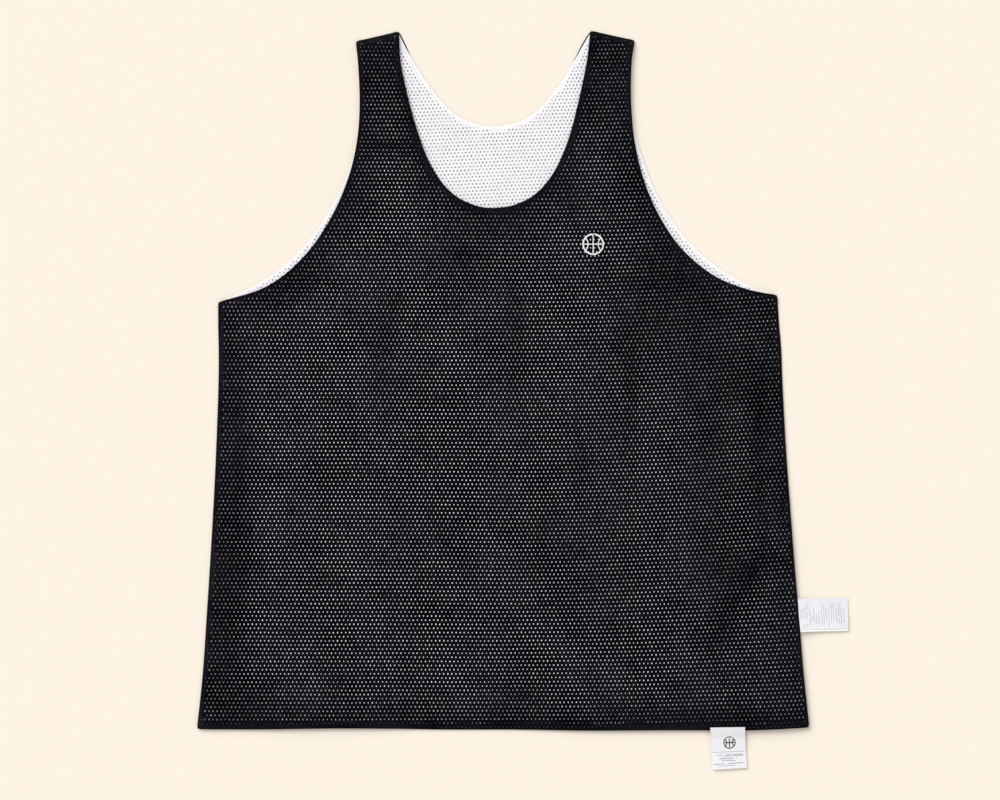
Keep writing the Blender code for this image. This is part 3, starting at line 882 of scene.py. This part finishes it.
front_outline, front_kinds = outline_of("outer_front")
rolled_share = softened(np.isin(front_kinds, ("hem", "side", "shoulder")).astype(float))
front_lining_outline, front_lining_kinds = outline_of("inner_front")
white_front = cloth_panel(
    "white_front", front_lining_outline, front_lining_kinds, WHITE_FRONT_MESH, white_front_level,
    side=-1, cloth=WHITE_WRONG_SIDE, widths=WHITE_ALLOWANCES, seed=6.4, plain_edge=WHITE_PLAIN_EDGE,
    drop=WHITE_FRONT_DROP,
)
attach(white_front, "root")
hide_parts("inner_front")

# ---------------------------------------------------------------- the black front
# The front of the black body, the face that shows. It lies on its lining, lifts off it in places,
# and rolls down to the back along its side and shoulder seams. Its turned-in allowance hides the
# white under a plain edge.

BLACK_FRONT_LEVEL = 3.90
BLACK_FRONT_MESH = Lattice(4.45, 4.5, 1.25, 1.74, 0.0, 0.14, 0.93, 1.5, 0.12, 5)
CLOSED_RIM_LEVEL = 1.05
CLOSED_DROP = 0.38
OPEN_DROP = 0.24
CONTACT_UNEVENNESS = 0.035
CONTACT_MIDDLE = 1.5
CONTACT_SIZE = 14.0
BRIDGED_SHARE = 0.5
RIDGE_SHARE = 0.12
EDGE_STAND_OFF = 0.57
EDGE_REACH = 26.0

# Patches where the black stands off its lining, so that less light reaches the white
LIFTS = (
    Rise(-130, 730, 22, 34, 0.42),
    Rise(-119, 636, 20, 5, 0.45),
    Rise(124, 706, 26, 52, 0.45),
    Rise(84, 566, 14, 12, 0.48),
    Rise(112, 548, 16, 12, 0.3),
    Rise(189, 511, 36, 30, 0.53),
    Rise(215, 452, 44, 34, 0.48),
    Rise(156, 435, 30, 36, 0.37),
    Rise(-51, 515, 26, 18, 0.45),
    Rise(-122, 435, 18, 40, 0.2),
    Rise(16, 440, 12, 36, 0.25),
    Rise(-281, 290, 12, 80, 0.34),
    Rise(-302, 185, 10, 50, 0.25),
    Rise(-294, 96, 14, 50, 0.54),
    Rise(285, 304, 14, 90, 0.36),
    Rise(274, 175, 20, 14, 0.46),
    Rise(246, 118, 16, 34, 0.42),
    Rise(262, 168, 26, 13, 0.44),
    Rise(147, 358, 8, 40, 0.25),
    Rise(233, 315, 10, 30, 0.25),
    Rise(216, 413, 10, 30, 0.3),
    Rise(91, 304, 12, 30, 0.15),
    Rise(74, 184, 30, 60, 0.14),
    Rise(240, 14, 90, 10, 0.72),
    Rise(-171, 52, 12, 7, 0.4),
    Rise(25, 36, 14, 7, 0.4),
    Rise(200, 41, 16, 8, 0.36),
    Rise(-275, 31, 30, 22, 0.47),
    Rise(112, 227, 10, 10, 0.2),
    Rise(140, 156, 9, 9, 0.3),
    Rise(180, 250, 130, 200, 0.12),
    Rise(250, 385, 50, 40, 0.36),
    Rise(240, 270, 26, 60, 0.25),
    Rise(240, 180, 24, 30, 0.31),
    Rise(266, 52, 44, 14, 0.36),
    Rise(-190, 482, 60, 14, 0.16),
    Rise(165, 486, 60, 12, 0.45),
    Rise(0, 545, 60, 24, 0.2),
    Rise(-40, 480, 40, 12, 0.13),
    Rise(262, 395, 22, 40, 0.17),
    Rise(-155, 585, 14, 40, 0.08),
    Rise(-290, 175, 26, 16, 0.42),
    Rise(314, 256, 5, 36, 0.7),
)


def stand_off(places):
    """How far the black front stands off its lining. It bridges the lining's creases."""
    gap = CONTACT_UNEVENNESS * MM * (CONTACT_MIDDLE + ripple(places, CONTACT_SIZE, seed=8.1))
    distance, _ = distance_to_rim(places, front_outline)
    gap += EDGE_STAND_OFF * MM * np.exp(-(distance / (EDGE_REACH * MM)) ** 2)
    fine = fold_rise(places, CREASES)
    gap += BRIDGED_SHARE * np.maximum(-fine, 0) + RIDGE_SHARE * np.maximum(fine, 0)
    return gap + rise_of(places, LIFTS)


def black_front_level(places):
    """The black front's height."""
    inner = front_rise(places) + stand_off(places) + BLACK_FRONT_LEVEL * MM
    return rolled_down(inner, places, CLOSED_RIM_LEVEL)


closed = np.isin(front_kinds, ("side", "shoulder"))
black_front = cloth_panel(
    "black_front", front_outline, front_kinds, BLACK_FRONT_MESH, black_front_level, side=1,
    cloth=BLACK_MESH, widths=BLACK_ALLOWANCES, seed=9.3, plain_edge=PLAIN_EDGE,
    drop=np.where(closed, CLOSED_DROP, OPEN_DROP), edge_shade=EDGE_SHADE,
)
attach(black_front, "root")
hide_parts("outer_front")

# ---------------------------------------------------------------- the seam stitches
# Black polyester thread that joins front and back down both sides and over both shoulders, in short
# slanted stitches round the rolled edge.

Stitch = namedtuple("Stitch", "pitch length thread_radius turn unevenness seed")
SEAM_STITCH = Stitch(3.0, 1.5, 0.2, (0.0, 1.0, 0.25), 0.15, 3)
SEAM_OUTSIDE = 0.35


def stitch_tree():
    """Short rounded stitches at an even pitch along the edges of a mesh."""
    tree, given = modifier_tree(
        "stitches_along_a_path", ("Stitch Pitch", "Stitch Length", "Thread Radius", "Unevenness"),
        {"Turn": "Vector", "Seed": "Int", "Thread": "Material"},
    )
    node, sums = partial(wired, tree), partial(maths, tree)
    path = node("GeometryNodeMeshToCurve", {0: given["Geometry"]})
    points = node("GeometryNodeCurveToPoints", {
        "Curve": path[0], "Length": given["Stitch Pitch"],
    }, mode="LENGTH")
    along = node("FunctionNodeAlignRotationToVector", {"Vector": points["Tangent"]}, axis="X")
    ball = node("GeometryNodeMeshUVSphere", {"Segments": 6, "Rings": 4, "Radius": 1.0})
    half, radius = sums("MULTIPLY", given["Stitch Length"], 0.5), given["Thread Radius"]
    size = node("ShaderNodeCombineXYZ", {0: half, 1: radius, 2: radius})
    least = sums("SUBTRACT", 1.0, given["Unevenness"])
    growth = node("FunctionNodeRandomValue", {2: least, 3: 1.0, "Seed": given["Seed"]}, data_type="FLOAT")
    rows = node("GeometryNodeInstanceOnPoints", {
        "Points": points["Points"], "Instance": ball["Mesh"], "Rotation": along[0],
        "Scale": times(tree, size[0], growth[1]),
    })
    turned = node("GeometryNodeRotateInstances", {"Instances": rows[0], "Rotation": given["Turn"]})
    end_tree(tree, turned[0], given["Thread"])
    return tree


def stitched(name, paths, thread, stitch):
    """Stitches along paths of points, as one plain mesh."""
    edges = []
    for start, path in zip(np.cumsum([0] + [len(path) for path in paths]), paths):
        edges += [(near, near + 1) for near in range(start, start + len(path) - 1)]
    made = new_piece(name, np.vstack(paths), [], edges=edges, smooth=False)
    guide = made.data
    made.data = grown(
        made, STITCHES, Stitch_Pitch=stitch.pitch * MM, Stitch_Length=stitch.length * MM,
        Thread_Radius=stitch.thread_radius * MM, Turn=stitch.turn, Unevenness=stitch.unevenness,
        Seed=stitch.seed, Thread=thread,
    )
    bpy.data.meshes.remove(guide)
    made.data.name = name
    made.data.shade_smooth()
    return made


STITCHES = stitch_tree()
BLACK_THREAD = cloth_finish(
    "black_thread", dark=(0.003, 0.003, 0.004), light=(0.008, 0.008, 0.009), roughness=0.55, sheen=0.02,
)

seam_paths = []
seam_rim = front_outline + outward_of(front_outline) * SEAM_OUTSIDE * MM
seam_level = rise_of(front_outline, RAISED_EDGES) + (CLOSED_RIM_LEVEL - CLOSED_DROP / 2) * MM
for first in np.flatnonzero(np.roll(front_kinds, 1) != front_kinds):
    if closed[first]:
        run = first + np.arange(np.argmax(np.roll(front_kinds, -first) != front_kinds[first]) + 1)
        run %= len(front_outline)
        seam_paths.append(np.column_stack([seam_rim[run], seam_level[run]]))
seam_stitches = stitched("seam_stitches", seam_paths, BLACK_THREAD, SEAM_STITCH)
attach(seam_stitches, "root")

# ---------------------------------------------------------------- the chest emblem
# A plain ball device in white rayon thread on the left chest: satin stitch along its ring and its
# four seams, standing a little proud of the black mesh.

EMBLEM_PLACE = (104.9, 528.3)
EMBLEM_RADIUS = 11.0
EMBLEM_LIFT = 0.15
RING_STITCH = Stitch(0.42, 2.3, 0.28, (0.0, 0.0, 1.45), 0.08, 7)
BALL_SEAM_STITCH = Stitch(0.42, 1.5, 0.28, (0.0, 0.0, 1.45), 0.1, 8)

# In shares of the ball's radius, how far its seams reach and where its side arcs are centred, then
# the angle of the arcs' sweep and the number of points on each line
BALL_REACH = 0.86
BALL_ARC_CENTRE = 1.36
BALL_ARC_SWEEP = 0.74
BALL_POINTS = {"ring": 49, "line": 17, "arc": 13}


def ball_paths(radius):
    """The lines of a plain basketball about the origin: its ring, a cross and two side arcs."""
    turn = np.linspace(0, math.tau, BALL_POINTS["ring"])
    ring = np.column_stack([np.cos(turn), np.sin(turn)])
    run = np.linspace(-BALL_REACH, BALL_REACH, BALL_POINTS["line"])
    level = np.column_stack([run, np.zeros(len(run))])
    sweep = np.linspace(-BALL_ARC_SWEEP, BALL_ARC_SWEEP, BALL_POINTS["arc"])
    arc = np.column_stack([BALL_ARC_CENTRE - BALL_REACH * np.cos(sweep), BALL_REACH * np.sin(sweep)])
    return [path * radius for path in (ring, level, level[:, ::-1], arc, arc * (-1, 1))]


WHITE_THREAD = cloth_finish(
    "white_thread", dark=(0.86, 0.86, 0.87), light=(0.93, 0.93, 0.94), roughness=0.45, sheen=0.05,
    specular=0.4,
)

emblem_paths = []
for path in ball_paths(EMBLEM_RADIUS * MM):
    path = path + in_plan(*EMBLEM_PLACE)
    emblem_paths.append(np.column_stack([path, black_front_level(path) + EMBLEM_LIFT * MM]))
emblem_ring = stitched("emblem_ring", emblem_paths[:1], WHITE_THREAD, RING_STITCH)
emblem_seams = stitched("emblem_seams", emblem_paths[1:], WHITE_THREAD, BALL_SEAM_STITCH)
for piece in (emblem_ring, emblem_seams):
    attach(piece, "root")

# ---------------------------------------------------------------- the care label
# Two leaves of thin white satin tape, caught in the side seam and lying out past the edge. The
# upper leaf's print is plain grey rules across the tape, and the lower one shows along its side.

TAPE_SHARE = 0.994
LEAF_SHARE = 0.934
LEAF_STEPS = (30, 14)
SAMPLE_SHARE = 0.93
UPPER_LEAF_DROP = 0.1
LOWER_LEAF_DROP = 0.5
LEAF_RIPPLE = 0.12
LEAF_RIPPLE_SIZE = 16.0
LEAF_CURL = 2.4
LEAF_CURL_LOSS = 0.45
LEAF_HANG = 30.0
LEAF_ROOT = 9.0
LEAF_ROOT_DROP = 1.15
LEAF_TUCK = (0.5, 3.2)
PRINT_LIFT = 0.05
PRINT_STEPS = 8
RULE_WIDTH = 0.9
DASH_WIDTH = 0.35

# Rules across the tape: how far each is from the seam, and where its parts start and end from the
# tape's lower edge, in millimetres
CARE_RULES = (
    (1.9, (13.0, 24.0)),
    (4.0, (15.0, 19.0), (20.5, 26.0)),
    (6.4, (14.0, 26.5)),
    (8.9, (14.0, 22.0), (23.0, 32.0)),
    (11.8, (7.3, 16.0), (17.0, 27.5)),
    (14.0, (12.0, 19.0)),
    (16.2, (9.0, 16.6), (18.0, 25.8)),
    (18.7, (8.3, 19.0)),
    (21.4, (9.3, 17.6), (19.0, 22.0)),
    (24.2, (7.3, 16.1), (17.5, 32.0)),
    (26.6, (8.3, 20.0), (21.5, 29.0)),
    (29.0, (12.0, 25.8)),
    (31.6, (5.0, 14.0), (15.5, 26.5)),
    (34.4, (9.0, 30.7)),
    (36.8, (12.0, 22.0), (24.0, 31.0)),
    (39.6, (10.0, 25.8)),
    (42.4, (8.0, 15.0), (16.0, 30.7)),
    (44.8, (6.0, 25.8)),
    (47.6, (9.0, 16.0), (17.6, 25.0)),
)

# Fine dashes along the tape: how far each is from its lower edge, and its start and end from the seam
CARE_DASHES = ((3.6, 2.0, 7.5), (5.8, 2.2, 9.5), (7.9, 3.0, 9.0))


def tape_corners(node):
    """The corners of a tape a little smaller than its CAD label, anticlockwise from its lower left."""
    loop = rim_of(node)
    corners = loop[corners_of(loop)]
    middle = corners.mean(0)
    return middle + (corners - middle) * TAPE_SHARE


def level_over(node, places):
    """The height of a CAD label's upper face at places in plan, read a little inside its edge."""
    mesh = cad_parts[node].data
    mesh.calc_loop_triangles()
    corners = [vertex.co for vertex in mesh.vertices]
    solid = BVHTree.FromPolygons(corners, [tuple(face.vertices) for face in mesh.loop_triangles])
    middle = tape_corners(node).mean(0)
    inside = middle + (places - middle) * SAMPLE_SHARE
    return np.array([solid.ray_cast((x, y, 1.0), (0, 0, -1))[0].z for x, y in inside])


def on_tape(corners, along, across):
    """Places in plan, from shares of the way from a tape's first to its second corner and across."""
    along, across = np.asarray(along)[:, None], np.asarray(across)[:, None]
    low = corners[0] + along * (corners[1] - corners[0])
    high = corners[3] + along * (corners[2] - corners[3])
    return low + across * (high - low)


def tape_leaf(name, corners, level, steps, cloth):
    """One leaf of a tape between four corners."""
    along, across = (np.linspace(0, 1, count + 1) for count in steps)
    grid = np.array([(s, t) for t in across for s in along])
    places = on_tape(corners, grid[:, 0], grid[:, 1])
    wide = len(along)
    starts = [row * wide + column for row in range(steps[1]) for column in range(steps[0])]
    faces = [(start, start + 1, start + 1 + wide, start + wide) for start in starts]
    return new_piece(name, np.column_stack([places, level(places)]), faces, material=cloth)


def printed(name, strokes, level, ink):
    """Flat printed strokes, each a path in plan and its width, just above a surface."""
    points, faces = [], []
    for path, width in strokes:
        slope = np.gradient(path, axis=0)
        slope /= np.linalg.norm(slope, axis=1)[:, None]
        aside = np.column_stack([-slope[:, 1], slope[:, 0]]) * width * MM / 2
        start, count = len(points), len(path)
        points += [*(path + aside), *(path - aside)]
        for near in range(start, start + count - 1):
            faces.append((near + count, near + count + 1, near + 1, near))
    places = np.array(points)
    lifted = np.column_stack([places, level(places) + PRINT_LIFT * MM])
    return new_piece(name, lifted, faces, material=ink, smooth=False)


def leaf_curl(places):
    """The leaves stand up off the surface towards their lower edge, less so away from the seam, where
    they come out level with its raised edge."""
    across = (care_corners[3] - care_corners[0]) / care_width
    share = np.clip(1 - (places - care_corners[0]) @ across / care_width, 0, 1)
    along = (care_corners[1] - care_corners[0]) / care_length
    out = np.clip((places - care_corners[0]) @ along, 0, care_length)
    curl = LEAF_CURL * MM * share**2 * (1 - LEAF_CURL_LOSS * out / care_length)
    hang = rise_of(places, RAISED_EDGES) * np.maximum(1 - out / (LEAF_HANG * MM), 0) ** 2
    return curl + hang - LEAF_ROOT_DROP * MM * np.maximum(1 - out / (LEAF_ROOT * MM), 0) ** 2


def over_care_label(places):
    """The height of the CAD care label's upper face, carried on level where a leaf runs into the seam."""
    return level_over("care_label", np.maximum(places, (care_root, -np.inf)))


def care_level(places):
    """The upper leaf's height."""
    wave = np.minimum(LEAF_RIPPLE * ripple(places, LEAF_RIPPLE_SIZE, seed=12.5), 0)
    return over_care_label(places) + (wave - UPPER_LEAF_DROP) * MM + leaf_curl(places)


def lower_leaf_level(places):
    """The lower leaf's height."""
    return over_care_label(places) - LOWER_LEAF_DROP * MM + leaf_curl(places)


SATIN_TAPE = cloth_finish(
    "satin_tape", dark=(0.74, 0.73, 0.76), light=(0.84, 0.83, 0.86), roughness=0.6, grain_depth=0.02,
)
PLAIN_TAPE = cloth_finish(
    "plain_tape", dark=(0.90, 0.90, 0.88), light=(0.94, 0.94, 0.92), roughness=0.7, grain_depth=0.02,
)
PALE_INK = cloth_finish(
    "pale_ink", dark=(0.47, 0.46, 0.51), light=(0.62, 0.61, 0.66), grain_depth=0.01,
)

care_corners = tape_corners("care_label")
care_length = np.linalg.norm(care_corners[1] - care_corners[0])
care_width = np.linalg.norm(care_corners[3] - care_corners[0])
care_root = care_corners[[0, 3], 0].max()
care_corners[[0, 3], 0] -= np.array(LEAF_TUCK) * MM
upper_corners, lower_corners = care_corners.copy(), care_corners.copy()
upper_corners[:2] += (care_corners[[3, 2]] - care_corners[:2]) * (1 - LEAF_SHARE)
lower_corners[2:] -= (care_corners[2:] - care_corners[[1, 0]]) * (1 - LEAF_SHARE)
care_label = tape_leaf("care_label_leaf", upper_corners, care_level, LEAF_STEPS, SATIN_TAPE)
care_under_leaf = tape_leaf(
    "care_label_under_leaf", lower_corners, lower_leaf_level, LEAF_STEPS, PLAIN_TAPE,
)
care_strokes = []
for from_seam, *parts in CARE_RULES:
    for start, end in parts:
        across = np.linspace(start, end, PRINT_STEPS) * MM / care_width
        along = np.full(PRINT_STEPS, from_seam * MM / care_length)
        care_strokes.append((on_tape(care_corners, along, across), RULE_WIDTH))
for from_edge, start, end in CARE_DASHES:
    along = np.linspace(start, end, PRINT_STEPS) * MM / care_length
    across = np.full(PRINT_STEPS, from_edge * MM / care_width)
    care_strokes.append((on_tape(care_corners, along, across), DASH_WIDTH))
care_print = printed("care_label_rules", care_strokes, care_level, PALE_INK)
for piece in (care_label, care_under_leaf, care_print):
    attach(piece, "root")
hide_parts("care_label")

# ---------------------------------------------------------------- the hem tab
# A white woven tab on the hem at the wearer's left, stitched over the turned edge and hanging past
# it. It carries a plain ball device in dark thread, with plain grey rules below.

TAB_STEPS = (12, 24)
TAB_DROP = 0.15
TAB_ROOT = 11.0
TAB_ROOT_DROP = 0.65
TAB_RIPPLE = 0.2
TAB_RIPPLE_SIZE = 22.0
TAB_CURL = 1.3
TAB_HELD = 5.0
TAB_HANG = 30.0
TAB_CORNER_RAISE = 1.6
TAB_PRINT_STEPS = 12
TAB_BALL = (20.3, 17.0)
TAB_BALL_RADIUS = 6.2
TAB_BALL_LINE = 1.1
TAB_STITCH = Stitch(2.6, 2.1, 0.22, (0.0, 0.0, 0.05), 0.1, 2)
TAB_STITCH_ROW = (1.2, 36.8)
TAB_STITCH_POINTS = 30
TAB_STITCH_FROM_TOP = 1.5
TAB_STITCH_LIFT = 0.05

# Rules on the tab: distance from its top edge, start and end from its left edge and width, in mm
TAB_RULES = (
    (27.0, 1.0, 36.0, 0.5),
    (30.2, 6.2, 12.0, 0.9),
    (30.2, 15.5, 21.0, 0.9),
    (30.2, 22.5, 34.4, 0.9),
    (31.6, 12.1, 34.4, 0.6),
    (34.1, 8.2, 23.4, 1.0),
    (34.1, 26.0, 29.0, 0.6),
    (36.4, 10.7, 25.5, 0.8),
    (39.6, 1.0, 14.0, 0.8),
    (39.4, 16.8, 34.0, 0.8),
    (41.7, 6.5, 25.5, 0.6),
)


def tab_level(places):
    """The tab's height. It is held close at the hem, hangs down past it and curls at its end."""
    down = (places - tab_corners[3]) @ tab_down
    root = np.clip(1 - down / (TAB_ROOT * MM), 0, 1)
    drop = TAB_DROP + (TAB_ROOT_DROP - TAB_DROP) * root
    wave = TAB_RIPPLE * np.minimum(ripple(places, TAB_RIPPLE_SIZE, seed=5.5), 0) * (1 - root)
    curl = TAB_CURL * np.clip(down / tab_length, 0, 1) ** 2
    raised = rise_of(places, RAISED_EDGES) * (1 - eased((down / MM - TAB_HELD) / TAB_HANG))
    return level_over("hem_label", places) + raised + (wave + curl - drop) * MM


def on_tab(across, down):
    """Places in plan, from millimetres across from the tab's left edge and down from its top."""
    return on_tape(tab_corners, across * MM / tab_width, 1 - down * MM / tab_length)


WOVEN_TAPE = cloth_finish(
    "woven_tape", dark=(0.80, 0.79, 0.82), light=(0.88, 0.87, 0.90), roughness=0.65, sheen=0.02,
)
GREY_INK = cloth_finish(
    "grey_ink", dark=(0.30, 0.29, 0.32), light=(0.46, 0.45, 0.48), grain_depth=0.01,
)
DARK_WEFT = cloth_finish(
    "dark_weft", dark=(0.012, 0.008, 0.007), light=(0.05, 0.03, 0.022), roughness=0.7,
)

tab_corners = tape_corners("hem_label")
tab_length = np.linalg.norm(tab_corners[3] - tab_corners[0])
tab_width = np.linalg.norm(tab_corners[1] - tab_corners[0])
tab_down = (tab_corners[0] - tab_corners[3]) / tab_length
tab_corners[3] -= tab_down * TAB_CORNER_RAISE * MM
hem_tab = tape_leaf("hem_tab", tab_corners, tab_level, TAB_STEPS, WOVEN_TAPE)
tab_strokes = []
for down, start, end, width in TAB_RULES:
    line = on_tab(np.linspace(start, end, TAB_PRINT_STEPS), np.full(TAB_PRINT_STEPS, down))
    tab_strokes.append((line, width))
tab_rules = printed("hem_tab_rules", tab_strokes, tab_level, GREY_INK)
ball = [path * (1, -1) + TAB_BALL for path in ball_paths(TAB_BALL_RADIUS)]
ball_strokes = [(on_tab(*path.T), TAB_BALL_LINE) for path in ball]
tab_ball = printed("hem_tab_ball", ball_strokes, tab_level, DARK_WEFT)
row = np.linspace(*TAB_STITCH_ROW, TAB_STITCH_POINTS)
top_row = on_tab(row, np.full(TAB_STITCH_POINTS, TAB_STITCH_FROM_TOP))
top_path = np.column_stack([top_row, tab_level(top_row) + TAB_STITCH_LIFT * MM])
tab_stitches = stitched("hem_tab_stitches", [top_path], WHITE_THREAD, TAB_STITCH)
for piece in (hem_tab, tab_rules, tab_ball, tab_stitches):
    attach(piece, "root")
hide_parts("hem_label")

# ---------------------------------------------------------------- floor, light and camera
# A plain cream surface, one broad soft light from the upper left and an even surround. Distances are
# in metres, but the sensor's width in millimetres.

FLOOR_HALF = 4.0
FLOOR_LEVEL = -0.0003
FLOOR_FINISH = {"Base Color": (0.91, 0.825, 0.71, 1), "Roughness": 0.9, "Specular IOR Level": 0.1}
KEY_ENERGY = 2.15
KEY_SPREAD = math.radians(40)
KEY_AIM = (0.47, -0.66, -0.59)
SURROUND = {"Color": (1, 1, 1, 1), "Strength": 0.696}
VIEW_WIDTH = 1.0927
VIEW_CENTRE = (0.0033, -0.0216)
CAMERA_HEIGHT = 2.5
SENSOR_WIDTH = 36.0

floor_finish = bpy.data.materials.new("cream_floor")
floor_finish.use_nodes = True
for label, value in FLOOR_FINISH.items():
    floor_finish.node_tree.nodes["Principled BSDF"].inputs[label].default_value = value
corners = np.array([(-1, -1), (1, -1), (1, 1), (-1, 1)]) * FLOOR_HALF
floor_points = np.column_stack([corners, np.full(4, FLOOR_LEVEL)])
floor = new_piece("floor", floor_points, [(0, 1, 2, 3)], material=floor_finish, smooth=False)

sun = bpy.data.lights.new("soft_key", "SUN")
sun.energy = KEY_ENERGY
sun.angle = KEY_SPREAD
key = link_new("soft_key", sun)
key.rotation_mode = "QUATERNION"
key.rotation_quaternion = Vector(KEY_AIM).to_track_quat("-Z", "Y")
surround = bpy.data.worlds.new("surround")
surround.use_nodes = True
for label, value in SURROUND.items():
    surround.node_tree.nodes["Background"].inputs[label].default_value = value
bpy.context.scene.world = surround
bpy.context.scene.view_settings.view_transform = "Standard"

lens = bpy.data.cameras.new("camera")
lens.sensor_width = SENSOR_WIDTH
lens.lens = SENSOR_WIDTH * CAMERA_HEIGHT / VIEW_WIDTH
camera = link_new("camera", lens)
camera.location = (*VIEW_CENTRE, CAMERA_HEIGHT)
bpy.context.scene.camera = camera
